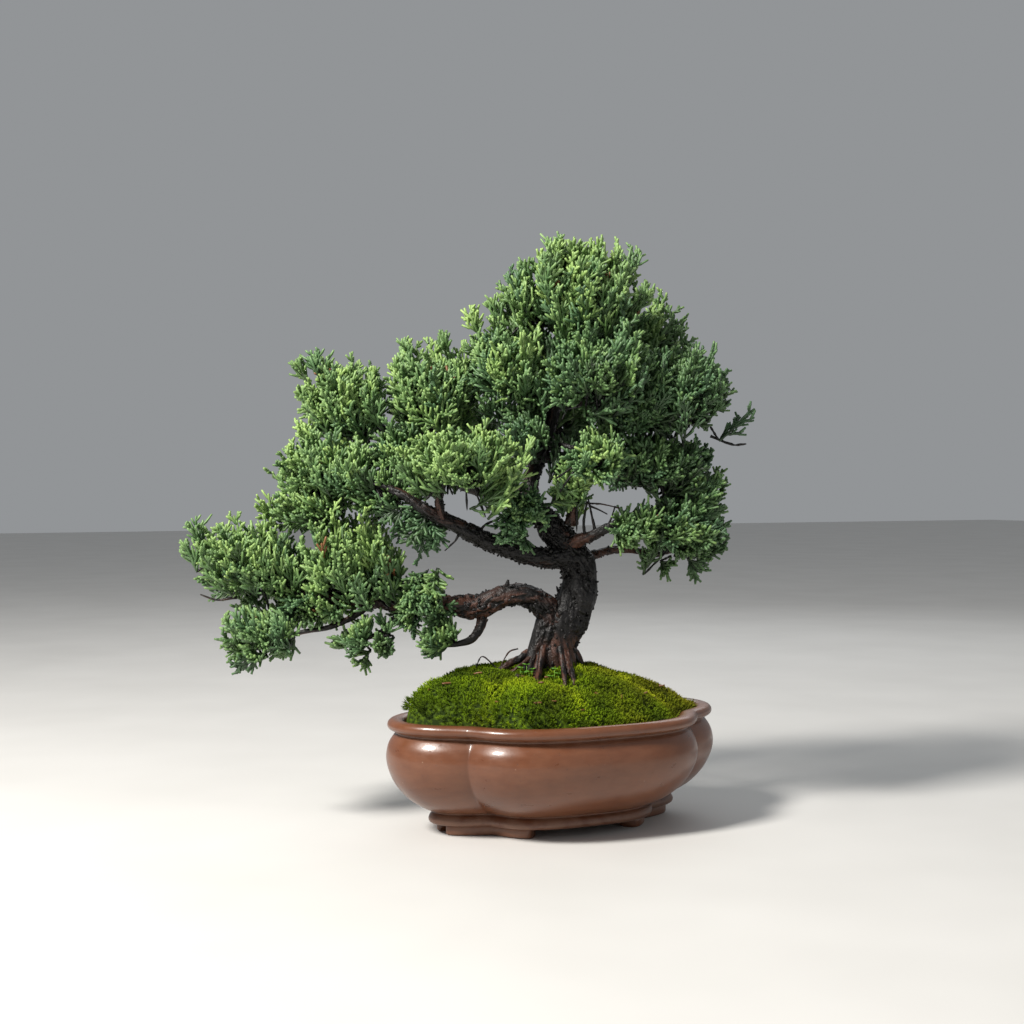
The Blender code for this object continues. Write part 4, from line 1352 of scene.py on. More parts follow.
@dataclass
class Cords:
    """Leafy cords of one length class, as columns of numbers."""

    start: np.ndarray
    aim: np.ndarray
    bend: np.ndarray
    length: np.ndarray
    radius: np.ndarray
    growth: np.ndarray
    tint: np.ndarray
    dead: np.ndarray

    def along(self, share: np.ndarray) -> tuple[np.ndarray, np.ndarray]:
        """Places and directions part of the way along each cord.

        Args:
            share: Shares of the length: (n,) for every cord, or (cords, n).

        Returns:
            The places and the directions, (cords, n, 3).
        """
        part, aim, bend = share[..., None], self.aim[:, None], self.bend[:, None]
        place = self.start[:, None] + (aim * part + bend * part**2) * self.length[:, None, None]
        return place, unit(aim + 2 * bend * part)

    def offspring(self, slimness: float, growth: np.ndarray, *grids: np.ndarray) -> "Cords":
        """Cords that grow from these, the same number on each.

        Args:
            slimness: Their radius as a share of their parent's.
            growth: (cords, n, 2) growth at their start and end.
            grids: (cords, n, ...) starts, aims, bends and lengths.

        Returns:
            The cords, with their parents' tint.
        """
        count = growth.shape[1]
        start, aim, bend, length, growth = (g.reshape(-1, *g.shape[2:]) for g in (*grids, growth))
        radius, tint, dead = (np.repeat(own, count) for own in (self.radius * slimness, self.tint, self.dead))
        return Cords(start, aim, bend, length, radius, growth, tint, dead)

    def shape_into(self, shape: Shape, rings: int, cells: CellMap, frame: Frame) -> None:
        """Skin every cord as a four-sided rod of overlapping scales.

        Args:
            shape: What the cords are added to.
            rings: Rings along each cord.
            cells: The map that gives each cord its own cell.
            frame: The tree's frame.
        """
        sides = 4
        count = len(self.start)
        share = np.linspace(0, 0.95, rings)
        line, along = self.along(share)
        side = unit(np.cross(along, (0.37, 0.51, 0.78)))
        other = np.cross(along, side)
        turn = (np.arange(sides) + 0.5 * np.arange(rings)[:, None]) * (2 * math.pi / sides)
        zigzag = np.where(np.arange(rings) % 2, 1.12, 0.92) * (1 - 0.42 * share**9)
        swell = self.radius[:, None, None, None] * zigzag[None, :, None, None]
        cosine, sine = np.cos(turn)[None, ..., None], np.sin(turn)[None, ..., None]
        rim = side[:, :, None] * cosine + other[:, :, None] * sine
        grid = (line[:, :, None] + rim * swell).reshape(count, rings * sides, 3)
        tip = self.start + (self.aim + self.bend) * self.length[:, None]
        points = np.concatenate((grid, tip[:, None]), 1)
        corner = np.stack([grid.ravel() for grid in np.mgrid[:rings, :sides]], 1)
        over, up, both = corner + (0, 1), corner + (1, 0), corner + (1, 1)
        triangles = np.concatenate((np.stack((corner, over, up), 1), np.stack((up, over, both), 1)[:-sides]))
        row, column = triangles[..., 0], triangles[..., 1]
        last = rings * sides
        pattern = np.minimum(row * sides + column % sides, last)
        faces = (np.arange(count)[:, None, None] * (last + 1) + pattern).reshape(-1, 3)
        local = np.stack(((column + 0.5 * row) / (sides + 0.5 * rings), row / rings), -1)
        corners = cells.take(count)[:, None, None] + local[None] * cells.size
        ramp = np.append(np.repeat(share, sides), 1.0)
        growth = self.growth[:, :1] + (self.growth[:, 1:] - self.growth[:, :1]) * ramp
        per_point = np.ones_like(growth)
        shape.add(
            frame.to_world(points.reshape(-1, 3)), faces, corners.reshape(-1, 3, 2),
            growth=growth.ravel(), tint=(self.tint[:, None] * per_point).ravel(),
            dead=(self.dead[:, None] * per_point).ravel(),
        )


@dataclass(frozen=True)
class Pad:
    """One mass of foliage."""

    name: str
    habit: Habit = Habit.SCALE
    blueness: float = 0.35
    # Painted light: how light the mass's colour is, lower where the mass stands in shade.
    brightness: float = 1.0
    lift: float = 0.45
    fullness: float = 1.0


# Each mass: its name, habit, blueness, painted light, lift and fullness; shaded masses get less light and
# more blueness, as painted shade.
PADS: tuple[Pad, ...] = (
    Pad("far_left", Habit.SCALE, 0.3, 0.95, 0.5),
    Pad("lower_left_tip", Habit.SCALE, 0.5, 0.8, 0.15, 0.65),
    Pad("left_middle", Habit.SCALE, 0.3, 0.95, 0.4),
    Pad("left_rise", Habit.SCALE, 0.3, 0.95, 0.4),
    Pad("left_under", Habit.SCALE, 0.45, 0.8, 0.15),
    Pad("left_inner", Habit.DROOPING, 0.6, 0.8, 0.2),
    Pad("inner_hanging", Habit.SCALE, 0.4, 0.8, 0.1, 0.7),
    Pad("left_hanging", Habit.SCALE, 0.4, 0.8, 0.15, 0.6),
    Pad("left_drooping", Habit.DROOPING, 0.9, 0.6, 0.1, 0.7),
    Pad("left_shoulder", Habit.SCALE, 0.35, 0.95, 0.5),
    Pad("left_shelf", Habit.SCALE, 0.3, 0.95, 0.4),
    Pad("shelf_under", Habit.SCALE, 0.5, 0.75, 0.2),
    Pad("shelf_bridge", Habit.SCALE, 0.45, 0.8, 0.3),
    Pad("upper_left", Habit.SCALE, 0.35, 1.0, 0.5),
    Pad("front_cluster", Habit.SCALE, 0.2, 1.05, 0.4),
    Pad("crown_top", Habit.SCALE, 0.35, 1.05, 0.6),
    Pad("crown_left", Habit.SCALE, 0.4, 0.95, 0.45),
    Pad("crown_rise", Habit.SCALE, 0.35, 0.95, 0.5),
    Pad("crown_inner", Habit.SCALE, 0.65, 0.5, 0.3),
    Pad("crown_front", Habit.SCALE, 0.55, 0.68, 0.4),
    Pad("crown_right", Habit.SCALE, 0.65, 0.6, 0.4),
    Pad("crown_gap", Habit.SCALE, 0.55, 0.6, 0.3),
    Pad("crown_right_low", Habit.SCALE, 0.65, 0.5, 0.3),
    Pad("right_edge", Habit.SCALE, 0.55, 0.6, 0.3),
    Pad("right_low", Habit.SCALE, 0.5, 0.62, 0.3),
    Pad("right_inner", Habit.SCALE, 0.4, 0.75, 0.3),
    Pad("trunk_tuft", Habit.SCALE, 0.1, 1.0, 0.6),
    Pad("centre_hanging", Habit.DROOPING, 0.7, 0.8, 0.1),
    Pad("pale_spray", Habit.SCALE, 0.45, 1.0, 0.2, 0.75),
    Pad("back_low", Habit.SCALE, 0.5, 0.85, 0.4),
    Pad("back_right", Habit.SCALE, 0.4, 0.9, 0.45),
    Pad("back_left", Habit.SCALE, 0.5, 0.85, 0.4),
)


# Shoots that stand clear of their mass: where each one starts and ends.
SHOOTS: dict[str, tuple[tuple[Row, Row], ...]] = {
    "crown_top": (
        ((2.0, 0.0, 236.0), (1.7, -1.0, 249.0)), ((9.0, 2.0, 236.0), (8.0, 0.0, 247.0)),
        ((15.0, 0.0, 234.0), (16.7, -1.0, 246.0)), ((30.0, 0.0, 231.0), (34.0, -1.0, 244.0)),
        ((24.0, 4.0, 232.0), (26.0, 4.0, 242.0)), ((-6.0, 0.0, 229.0), (-15.5, -1.0, 237.0)),
        ((34.0, 0.0, 219.0), (41.0, 0.0, 227.0)),
    ),
    "crown_left": (((-29.0, 0.0, 207.0), (-38.0, -1.0, 217.0)), ((-22.0, 0.0, 212.0), (-26.0, 0.0, 221.0))),
    "crown_right": (((66.0, 0.0, 168.0), (87.0, -3.0, 176.5)), ((62.0, 0.0, 186.0), (73.0, -1.0, 184.0))),
    "left_shoulder": (
        ((-105.0, 12.0, 187.0), (-111.5, 11.0, 197.0)), ((-100.0, 12.0, 189.0), (-103.5, 11.0, 200.0)),
    ),
    "upper_left": (((-62.0, 10.0, 195.0), (-64.5, 10.0, 204.0)), ((-46.0, 10.0, 198.0), (-48.0, 9.0, 207.5))),
    "crown_inner": (
        ((0.0, 2.0, 144.0), (8.0, -2.0, 160.0)), ((3.0, 3.0, 146.0), (15.0, 0.0, 158.0)),
        ((-2.0, 1.0, 146.0), (1.0, -8.0, 162.0)), ((0.0, 3.0, 150.0), (12.0, 2.0, 168.0)),
        ((-20.0, 6.0, 168.0), (-28.0, 1.0, 184.0)), ((-32.0, 8.0, 168.0), (-27.0, 0.0, 181.0)),
        ((2.0, 4.0, 192.0), (-5.0, -4.0, 209.0)), ((4.0, 5.0, 194.0), (0.0, -2.0, 208.0)),
    ),
    "shelf_bridge": (
        ((-76.0, -10.0, 141.0), (-82.0, -19.0, 149.0)), ((-70.0, -10.0, 139.0), (-72.0, -19.0, 148.0)),
        ((-66.0, -10.0, 138.0), (-63.0, -19.0, 146.0)), ((-74.0, -10.0, 140.0), (-80.0, -19.0, 131.0)),
        ((-68.0, -10.0, 138.0), (-72.0, -19.0, 128.0)), ((-60.0, -10.0, 136.0), (-56.0, -19.0, 142.0)),
    ),
    "left_shelf": (
        ((-100.0, -1.0, 160.0), (-109.5, -2.0, 170.0)), ((-104.0, -1.0, 150.0), (-118.0, -3.0, 152.0)),
    ),
    "left_rise": (((-112.0, -8.0, 132.0), (-127.0, -9.0, 135.0)),),
    "far_left": (
        ((-142.0, -12.0, 117.0), (-154.0, -13.0, 129.0)), ((-144.0, -12.0, 111.0), (-155.5, -13.0, 120.0)),
    ),
    "lower_left_tip": (
        ((-124.0, -18.0, 78.0), (-134.0, -19.0, 65.0)), ((-110.0, -18.0, 82.0), (-116.0, -19.0, 73.0)),
    ),
    "left_hanging": (
        ((-78.0, -16.0, 76.0), (-82.0, -17.0, 67.5)), ((-84.0, -16.0, 80.0), (-91.0, -17.0, 74.5)),
    ),
    "right_low": (((60.0, 5.0, 114.0), (61.0, 4.0, 104.0)), ((50.0, 5.0, 113.0), (48.0, 4.0, 107.0))),
}


@dataclass
class Foliage:
    """Every mass of foliage, grown from the twigs that feed it."""

    frame: Frame
    patch: float = 66.0
    leafy: float = 21.0
    side_spacing: float = 2.0
    side_length: float = 8.2
    cord_radius: float = 0.64
    margin: float = 2.8
    tail_shares: tuple[float, ...] = (0.28, 0.52, 0.74)
    dead_share: float = 0.0015
    axis_rings: int = 12
    side_rings: int = 6
    tail_rings: int = 4
    twig_rings: int = 7

    def __post_init__(self) -> None:
        """Measure each mass and gather the wood's points."""
        self.middle, self.half = {}, {}
        for pad in PADS:
            mesh = frame["nodes"]["foliage_" + pad.name].data
            flat = np.zeros(len(mesh.vertices) * 3, np.float32)
            mesh.vertices.foreach_get("co", flat)
            points = self.frame.from_world(flat.reshape(-1, 3).astype(float))
            low, high = points.min(0), points.max(0)
            self.middle[pad.name], self.half[pad.name] = (low + high) / 2, (high - low) / 2
        self.wood = np.vstack([smooth_path(rows, 3.0)[:, :3] for rows in (TRUNK, *LIMBS.values())])

    def targets(self, pad: Pad, rng: np.random.Generator) -> np.ndarray:
        """Places on the mass's outside that sprays reach for.

        Args:
            pad: The mass.
            rng: Random numbers.

        Returns:
            (n, 3) places.
        """
        middle, half = self.middle[pad.name], self.half[pad.name]
        a, b, c = half
        area = 4 * math.pi * (((a * b) ** 1.6 + (a * c) ** 1.6 + (b * c) ** 1.6) / 3) ** (1 / 1.6)
        count = max(14, int(area * pad.fullness / self.patch))
        index = np.arange(count) + 0.5
        height = 1 - 2 * index / count
        turn = index * math.pi * (3 - math.sqrt(5))
        flat = np.sqrt(1 - height**2)
        ball = np.stack((flat * np.cos(turn), flat * np.sin(turn), height), 1)
        ball = unit(ball + rng.normal(0, 0.12, ball.shape))
        inner, outer = rng.uniform(0.45, 0.7, (count, 1)), rng.normal(0.94, 0.09, (count, 1))
        size = np.where(index[:, None] % 4 < 1, inner, outer)
        places = middle + ball * (half - self.margin) * size
        keep = rng.random(count) < np.clip(1.0 + 0.85 * ball[:, 2], 0.3, 1.0)
        for other, centre in self.middle.items():
            if other != pad.name:
                keep &= np.sum(((places - centre) / self.half[other]) ** 2, 1) >= 0.72
        return places[keep]

    def sprays(self, pad: Pad, rng: np.random.Generator) -> tuple[list[tuple[Cords, int]], Cords]:
        """Grow one mass.

        Args:
            pad: The mass.
            rng: Random numbers.

        Returns:
            Its cords with their ring counts, and the bare twigs behind them.
        """
        middle, half = self.middle[pad.name], self.half[pad.name]
        ends = self.targets(pad, rng)
        inside = np.sum(((self.wood - middle) / half) ** 2, 1) < 0.8
        closest = np.argsort(np.linalg.norm(self.wood - middle, axis=1))[:2]
        core = self.wood[inside if inside.any() else closest]
        gaps = np.linalg.norm(ends[:, None] - core[None] - 0.35 * (middle - core)[None], axis=2)
        feed = core[np.argmin(gaps, axis=1)] * 0.8 + middle * 0.2
        for first, last in SHOOTS.get(pad.name, ()):
            tip = np.array(first) * 0.22 + np.array(last) * 0.78
            feed, ends = np.vstack((feed, first)), np.vstack((ends, tip))
        drooping = pad.habit is Habit.DROOPING
        up = np.array((0.0, 0.0, -0.5 if drooping else pad.lift))
        axis = ends - feed
        full = np.linalg.norm(axis, axis=1)
        longest = self.leafy * rng.uniform(0.8, 1.2, len(full)) * (1.2 if drooping else 1.0)
        leafy = np.minimum(full * 0.92, longest)
        away = unit((ends - (0.0, 3.0, 120.0)) * (1.0, 1.0, 0.5))
        high = np.clip((ends - middle)[:, 2:] / half[2] + 0.6, 0.0, 1.3)
        stray = rng.normal(0, 0.16, axis.shape)
        aim = unit(axis / full[:, None] * 0.55 + away * 0.35 + up * (0.3 + high) + stray)
        bend = up * rng.uniform(0.1, 0.55, (len(full), 1)) + rng.normal(0, 0.06, axis.shape)
        start = ends - (aim + bend) * leafy[:, None]
        # Colour strength: random vigour times the mass's painted light, and lighter towards the top of each
        # mass.
        vigour_and_light = np.clip(rng.normal(0.86, 0.20, len(full)), 0.42, 1.15) * pad.brightness
        vigour_and_light = vigour_and_light * (0.72 + 0.28 * np.clip((ends - middle)[:, 2] / half[2] + 0.35, -1, 1))
        tint = np.clip(rng.normal(pad.blueness, 0.22, len(full)), 0, 1)
        dead = np.zeros(len(full))
        radius = self.cord_radius * rng.uniform(0.9, 1.12, len(full))
        base = np.stack((0.18 * vigour_and_light, 0.85 * vigour_and_light), 1)
        axes = Cords(start, aim, bend, leafy, radius, base, tint, dead)
        twig_aim = start - feed
        twig_length = np.linalg.norm(twig_aim, axis=1) + 0.5
        twig_bend = rng.normal(0, 0.05, aim.shape)
        twigs = Cords(feed, unit(twig_aim), twig_bend, twig_length, radius * 0.8, base * 0, tint, dead)
        side, square = self.side_cords(axes, pad, rng)
        tails = self.end_cords(side, square, rng)
        return [(axes, self.axis_rings), (side, self.side_rings), (tails, self.tail_rings)], twigs

    def side_cords(self, axes: Cords, pad: Pad, rng: np.random.Generator) -> tuple[Cords, np.ndarray]:
        """Branchlets on both sides of each spray's axis.

        Args:
            axes: The sprays' axes.
            pad: The mass.
            rng: Random numbers.

        Returns:
            The branchlets, and the direction square to each one's plane.
        """
        count = int(self.leafy / self.side_spacing)
        share = np.linspace(0.06, 0.97, count)[None, :] + rng.normal(0, 0.015, (len(axes.start), count))
        place, along = axes.along(share)
        outward = unit((axes.start - self.middle[pad.name]) * (1.0, 1.0, 0.4))
        flat = unit(outward * 0.8 + np.array((0, 0, 0.35)) + rng.normal(0, 0.45, axes.aim.shape))
        square = unit(flat[:, None] + rng.normal(0, 0.45, place.shape))
        side = unit(np.cross(along, square)) * np.where(np.arange(count) % 2, 1.0, -1.0)[None, :, None]
        open_ = rng.uniform(0.55, 0.95, share.shape)[..., None]
        aim = unit(along * np.cos(open_) + side * np.sin(open_) + 0.14 * square)
        length = self.side_length * (1.0 - 0.62 * share) * rng.uniform(0.7, 1.2, share.shape)
        bend = np.array((0, 0, 0.22)) + along * 0.20 + rng.normal(0, 0.05, aim.shape)
        glow = axes.growth[:, 1:] / 0.85
        growth = np.stack((glow * (0.22 + 0.25 * share), glow * rng.uniform(0.72, 0.98, share.shape)), -1)
        cords = axes.offspring(0.98, growth, place, aim, bend, length)
        cords.dead = (rng.random(length.size) < self.dead_share).astype(float)
        return cords, square.reshape(-1, 3)

    def end_cords(self, parents: Cords, square: np.ndarray, rng: np.random.Generator) -> Cords:
        """The last, short cords on each branchlet.

        Args:
            parents: The branchlets.
            square: The direction square to each one's plane.
            rng: Random numbers.

        Returns:
            The short cords.
        """
        count = len(self.tail_shares)
        share = np.array(self.tail_shares) + rng.normal(0, 0.05, (len(parents.start), count))
        place, along = parents.along(share)
        tilt = unit(square[:, None] + rng.normal(0, 0.5, along.shape))
        side = unit(np.cross(along, tilt)) * np.where(np.arange(count) % 2, -1.0, 1.0)[None, :, None]
        open_ = rng.uniform(0.55, 0.85, share.shape)[..., None]
        aim = unit(along * np.cos(open_) + side * np.sin(open_))
        length = np.clip(parents.length[:, None] * rng.uniform(0.40, 0.72, share.shape), 1.8, 5.0)
        bend = along * 0.18 + np.array((0, 0, 0.12)) + rng.normal(0, 0.04, aim.shape)
        low = parents.growth[:, :1] + (parents.growth[:, 1:] - parents.growth[:, :1]) * share
        growth = np.stack((low * 0.9, np.minimum(low + 0.26, 1.0) * rng.uniform(0.85, 1.05, share.shape)), -1)
        return parents.offspring(0.95, growth, place, aim, bend, length)

    def build(self, leaves: bpy.types.Material, bark: bpy.types.Material) -> None:
        """Make every mass and the twigs inside it.

        Args:
            leaves: The foliage finish.
            bark: The twigs' finish.
        """
        for seed, pad in enumerate(PADS):
            rng = np.random.default_rng(100 + seed)
            found, twigs = self.sprays(pad, rng)
            cells = CellMap(sum(len(cords.start) for cords, _ in found))
            shape = Shape()
            for cords, rings in found:
                cords.shape_into(shape, rings, cells, self.frame)
            settle(shape.build("sprays_" + pad.name, leaves), "foliage", "foliage_" + pad.name)
            bare = Shape()
            twigs.shape_into(bare, self.twig_rings, CellMap(len(twigs.start)), self.frame)
            bare.rename(fibre="tint", relief="tint", peeled="dead")
            settle(bare.build("twigs_" + pad.name, bark), "bark")


# -------------------------------------------------------------------- details
@dataclass(frozen=True)
class SeedlingFinish(Finish):
    """Soft young leaves of a small weed."""

    leaf: Colour = (0.085, 0.270, 0.020)
    vein: Colour = (0.200, 0.420, 0.060)

    def make(self) -> bpy.types.Material:
        """Build the material.

        Returns:
            The material.
        """
        g = Graph(self.name)
        colour = g.mix(g.attribute("vein"), self.leaf, self.vein)
        colour = g.mix(g.noise(0.8, 2.0).above(0.6, 0.2) * 0.3, colour, (0.04, 0.15, 0.01))
        return g.finish(base_color=colour, roughness=0.45)


@dataclass
class Details:
    """Dead twigs, thin roots, scales of old bark, seedlings and fallen leaves."""

    wood: Wood
    moss: MossBed
    litter: int = 40
    crust_density: float = 0.40
    crust_from: float = 1.5
    stalk_radius: float = 0.14
    peel: ClassVar[dict[str, float]] = {"dead_twigs": -0.5, "fine_roots": 0.4}
    dead_twigs: tuple[tuple[Row, ...], ...] = (
        ((12.5, -7.5, 121.0, 0.7), (12.0, -8.5, 128.0, 0.55), (13.4, -9.0, 136.5, 0.4)),
        ((17.0, -9.0, 123.0, 0.7), (15.4, -9.6, 130.0, 0.5), (13.8, -9.4, 137.4, 0.35)),
        ((13.2, -9.0, 135.6, 0.5), (19.6, -9.6, 135.2, 0.4), (26.8, -10.0, 133.6, 0.3)),
        ((14.6, -9.4, 134.4, 0.45), (18.0, -9.8, 133.0, 0.4), (21.8, -10.0, 131.0, 0.3)),
        ((21.0, -10.4, 125.0, 0.6), (23.2, -11.0, 129.0, 0.4), (25.0, -11.4, 134.5, 0.3)),
        ((-30.5, -12.0, 121.5, 0.7), (-30.0, -13.0, 126.0, 0.5), (-21.6, -13.0, 130.0, 0.3)),
        ((-40.0, -15.0, 126.0, 0.7), (-41.0, -16.0, 121.0, 0.5), (-46.0, -16.0, 116.0, 0.3)),
        ((66.0, 0.0, 164.0, 0.6), (75.0, -1.0, 160.4, 0.45), (81.0, -2.0, 160.6, 0.3)),
        ((-20.2, -9.0, 100.0, 1.1), (-20.0, -9.4, 102.0, 0.8), (-19.6, -9.6, 103.6, 0.4)),
        ((-133.0, -13.0, 96.5, 0.7), (-141.0, -13.0, 95.4, 0.5), (-148.0, -13.0, 97.6, 0.3)),
        ((7.0, -5.0, 127.0, 2.6), (7.6, -7.0, 133.0, 2.0), (8.0, -8.0, 139.0, 1.3), (8.0, -8.6, 145.0, 0.6)),
    )
    fine_roots: tuple[tuple[Row, ...], ...] = (
        ((-33.5, -10.0, 66.0, 0.25), (-30.5, -10.0, 71.4, 0.25), (-24.5, -9.5, 66.4, 0.25)),
        ((-15.6, -9.0, 74.6, 0.28), (-19.6, -9.6, 73.0, 0.28), (-23.5, -10.0, 66.0, 0.25)),
        (
            (-7.0, -7.0, 74.0, 1.0), (-13.0, -10.0, 69.0, 0.8), (-18.0, -12.5, 65.0, 0.6),
            (-21.0, -14.0, 59.0, 0.4),
        ),
        (
            (-4.6, -7.0, 76.0, 1.6), (-6.0, -11.0, 69.8, 1.6), (-6.8, -14.5, 65.8, 1.5),
            (-7.4, -18.5, 63.6, 1.35), (-7.8, -23.0, 62.4, 1.15), (-8.0, -27.0, 59.6, 0.8),
        ),
        (
            (2.0, -7.0, 77.0, 1.3), (2.8, -11.0, 70.4, 1.3), (3.2, -14.5, 66.2, 1.2),
            (3.6, -18.5, 63.8, 1.05), (3.8, -22.5, 60.6, 0.7),
        ),
        (
            (4.4, -6.0, 76.0, 1.1), (5.6, -9.5, 70.0, 1.1), (6.6, -13.0, 66.6, 1.0),
            (7.2, -17.0, 64.0, 0.9), (7.6, -20.5, 60.5, 0.6),
        ),
    )
    stub: tuple[Row, ...] = ((-20.0, -15.0, 60.0, 1.5), (-16.0, -16.0, 63.4, 1.9), (-13.0, -16.6, 61.4, 1.2))
    seedlings: tuple[Row, ...] = (
        (-13.5, -15.5, 2.2), (-11.0, -16.5, 3.2), (-9.8, -14.6, 4.0), (-12.0, -13.2, 4.6),
        (-14.6, -13.6, 3.0), (1.2, -16.2, 3.0), (-0.4, -14.8, 4.2), (2.2, -14.4, 2.6), (-2.2, -16.8, 2.0),
    )

    def build_wood(self, bark: bpy.types.Material) -> None:
        """Make the dead twigs, the fine roots and the cut stub.

        Args:
            bark: Their finish.
        """
        for name, lot in (("dead_twigs", self.dead_twigs), ("fine_roots", (*self.fine_roots, self.stub))):
            shape = Shape()
            for index, rows in enumerate(lot):
                cell = (0.0, index / len(lot), 1.0, 0.9 / len(lot))
                self.wood.skin(shape, rows, 200 + index, 0.2, self.peel[name], cell)
            settle(shape.build(name, bark), "bark")

    def build_crust(self, bark: bpy.types.Material) -> None:
        """Stick small, hard scales of old bark to the trunk and the thicker limbs.

        Args:
            bark: Their finish.
        """
        rng = np.random.default_rng(9)
        starts, aims, widths = [], [], []
        for rows in (TRUNK, *LIMBS.values()):
            line = smooth_path(rows, self.wood.step)
            first, second = carried_frames(line[:, :3])
            forward = unit(np.gradient(line[:, :3], axis=0))
            share = self.crust_density * 2 * math.pi * line[:, 3] * self.wood.step
            counts = rng.poisson(np.where(line[:, 3] > self.crust_from, share, 0))
            spots = np.repeat(np.arange(len(line)), counts)
            turn = rng.uniform(0, 2 * math.pi, (len(spots), 1))
            out = first[spots] * np.cos(turn) + second[spots] * np.sin(turn)
            starts.append(line[spots, :3] + out * (line[spots, 3:] * 0.97 - 0.35))
            way = forward[spots] * rng.choice((-1.0, 1.0), (len(spots), 1))
            aims.append(unit(way * 0.8 + out * 0.42 + rng.normal(0, 0.35, out.shape)))
            widths.append(rng.uniform(0.30, 0.62, len(spots)) * np.clip(line[spots, 3] / 4, 0.7, 1.2))
        start, aim, width = np.vstack(starts), np.vstack(aims), np.concatenate(widths)
        size = len(start)
        growth = np.stack((rng.uniform(0, 0.9, size), rng.uniform(0, 0.9, size)), 1)
        cords = Cords(
            start, aim, rng.normal(0, 0.2, aim.shape), width * rng.uniform(1.9, 3.8, size), width,
            growth, rng.uniform(0.1, 0.9, size), np.zeros(size),
        )
        shape = Shape()
        cords.shape_into(shape, 3, CellMap(size), self.wood.frame)
        shape.rename(fibre="growth", relief="tint", peeled="dead")
        settle(shape.build("bark_crust", bark), "bark")

    def build_seedlings(self, material: bpy.types.Material) -> None:
        """Make the seedlings: round leaflets on thin stalks.

        Args:
            material: Their finish.
        """
        rng = np.random.default_rng(7)
        frame = self.wood.frame
        shape, steps = Shape(), 10
        turn = np.linspace(0, 2 * math.pi, steps, endpoint=False)
        for index, (across, away, stalk) in enumerate(self.seedlings):
            pot_place = (frame.to_world(np.array((across, away, 0.0))) - frame.middle)[:2] / MM
            ground = float(self.moss.height(pot_place))
            crown = np.array((across, away, ground + stalk))
            for leaf in range(3):
                way = leaf * 2.1 + rng.uniform(0, 0.6)
                out = np.array((math.cos(way), math.sin(way), 0.25))
                side = np.array((-math.sin(way), math.cos(way), 0.0))
                size = rng.uniform(0.8, 1.15)
                rim = crown + out * size * (1 + np.cos(turn))[:, None]
                rim += side * size * 0.85 * np.sin(turn)[:, None]
                rim[:, 2] += 0.18 * np.abs(np.sin(turn))
                points = np.vstack((rim, crown + out * size))
                k = np.arange(steps)
                faces = np.stack((k, (k + 1) % steps, np.full(steps, steps)), 1)
                flat = np.vstack((np.stack((np.cos(turn), np.sin(turn)), 1), ((0, 0),))) * 0.45 + 0.5
                cell = np.array((index, leaf)) / (len(self.seedlings), 3)
                corners = flat[faces] / (len(self.seedlings), 3) + cell
                vein = np.append(np.zeros(steps), 1.0)
                shape.add(frame.to_world(points), faces, corners * (1.0, 0.66), vein=vein)
            line = np.linspace(0, 1, 6)[:, None]
            stem = np.array((across, away, ground - 0.6)) * (1 - line) + crown * line
            side_a, side_b = carried_frames(stem + rng.normal(0, 0.01, stem.shape))
            ring = np.linspace(0, 2 * math.pi, 5, endpoint=False)
            out = side_a[:, None] * np.cos(ring)[:, None] + side_b[:, None] * np.sin(ring)[:, None]
            skin = stem[:, None] + self.stalk_radius * out
            faces, corners = tube_faces(6, 5)
            points = np.vstack((skin.reshape(-1, 3), stem[:1], stem[-1:]))
            spot, vein = np.array((index / len(self.seedlings), 0.7)), np.ones(len(points))
            corners = corners * (0.9 / len(self.seedlings), 0.28) + spot
            shape.add(frame.to_world(points), faces, corners, vein=vein)
        settle(shape.build("seedlings", material), "moss")

    def build_litter(self, material: bpy.types.Material) -> None:
        """Scatter fallen brown scales over the moss.

        Args:
            material: The foliage finish, which turns brown where it is dead.
        """
        rng = np.random.default_rng(8)
        frame, pot = self.wood.frame, self.moss.pot
        places = rng.uniform(-1, 1, (self.litter * 3, 2)) * (pot.half_length, pot.half_width)
        places = places[self.moss.reach(places) < 0.93][:self.litter]
        ground = self.moss.height(places) + rng.uniform(0.9, 1.7, len(places))
        start = frame.from_world(frame.pot_to_world(np.concatenate((places, ground[:, None]), 1)))
        size = len(start)
        flat, rise = rng.normal(0, 1, (size, 2)), rng.normal(0, 0.2, (size, 1))
        aim = unit(np.concatenate((flat, rise), 1))
        growth = np.stack((rng.uniform(0.2, 0.6, size), rng.uniform(0.4, 0.9, size)), 1)
        cords = Cords(
            start, aim, rng.normal(0, 0.15, aim.shape), rng.uniform(1.6, 4.2, size),
            rng.uniform(0.3, 0.55, size), growth, np.zeros(size), np.ones(size),
        )
        shape = Shape()
        cords.shape_into(shape, 4, CellMap(size), frame)
        settle(shape.build("fallen_scales", material), "moss")


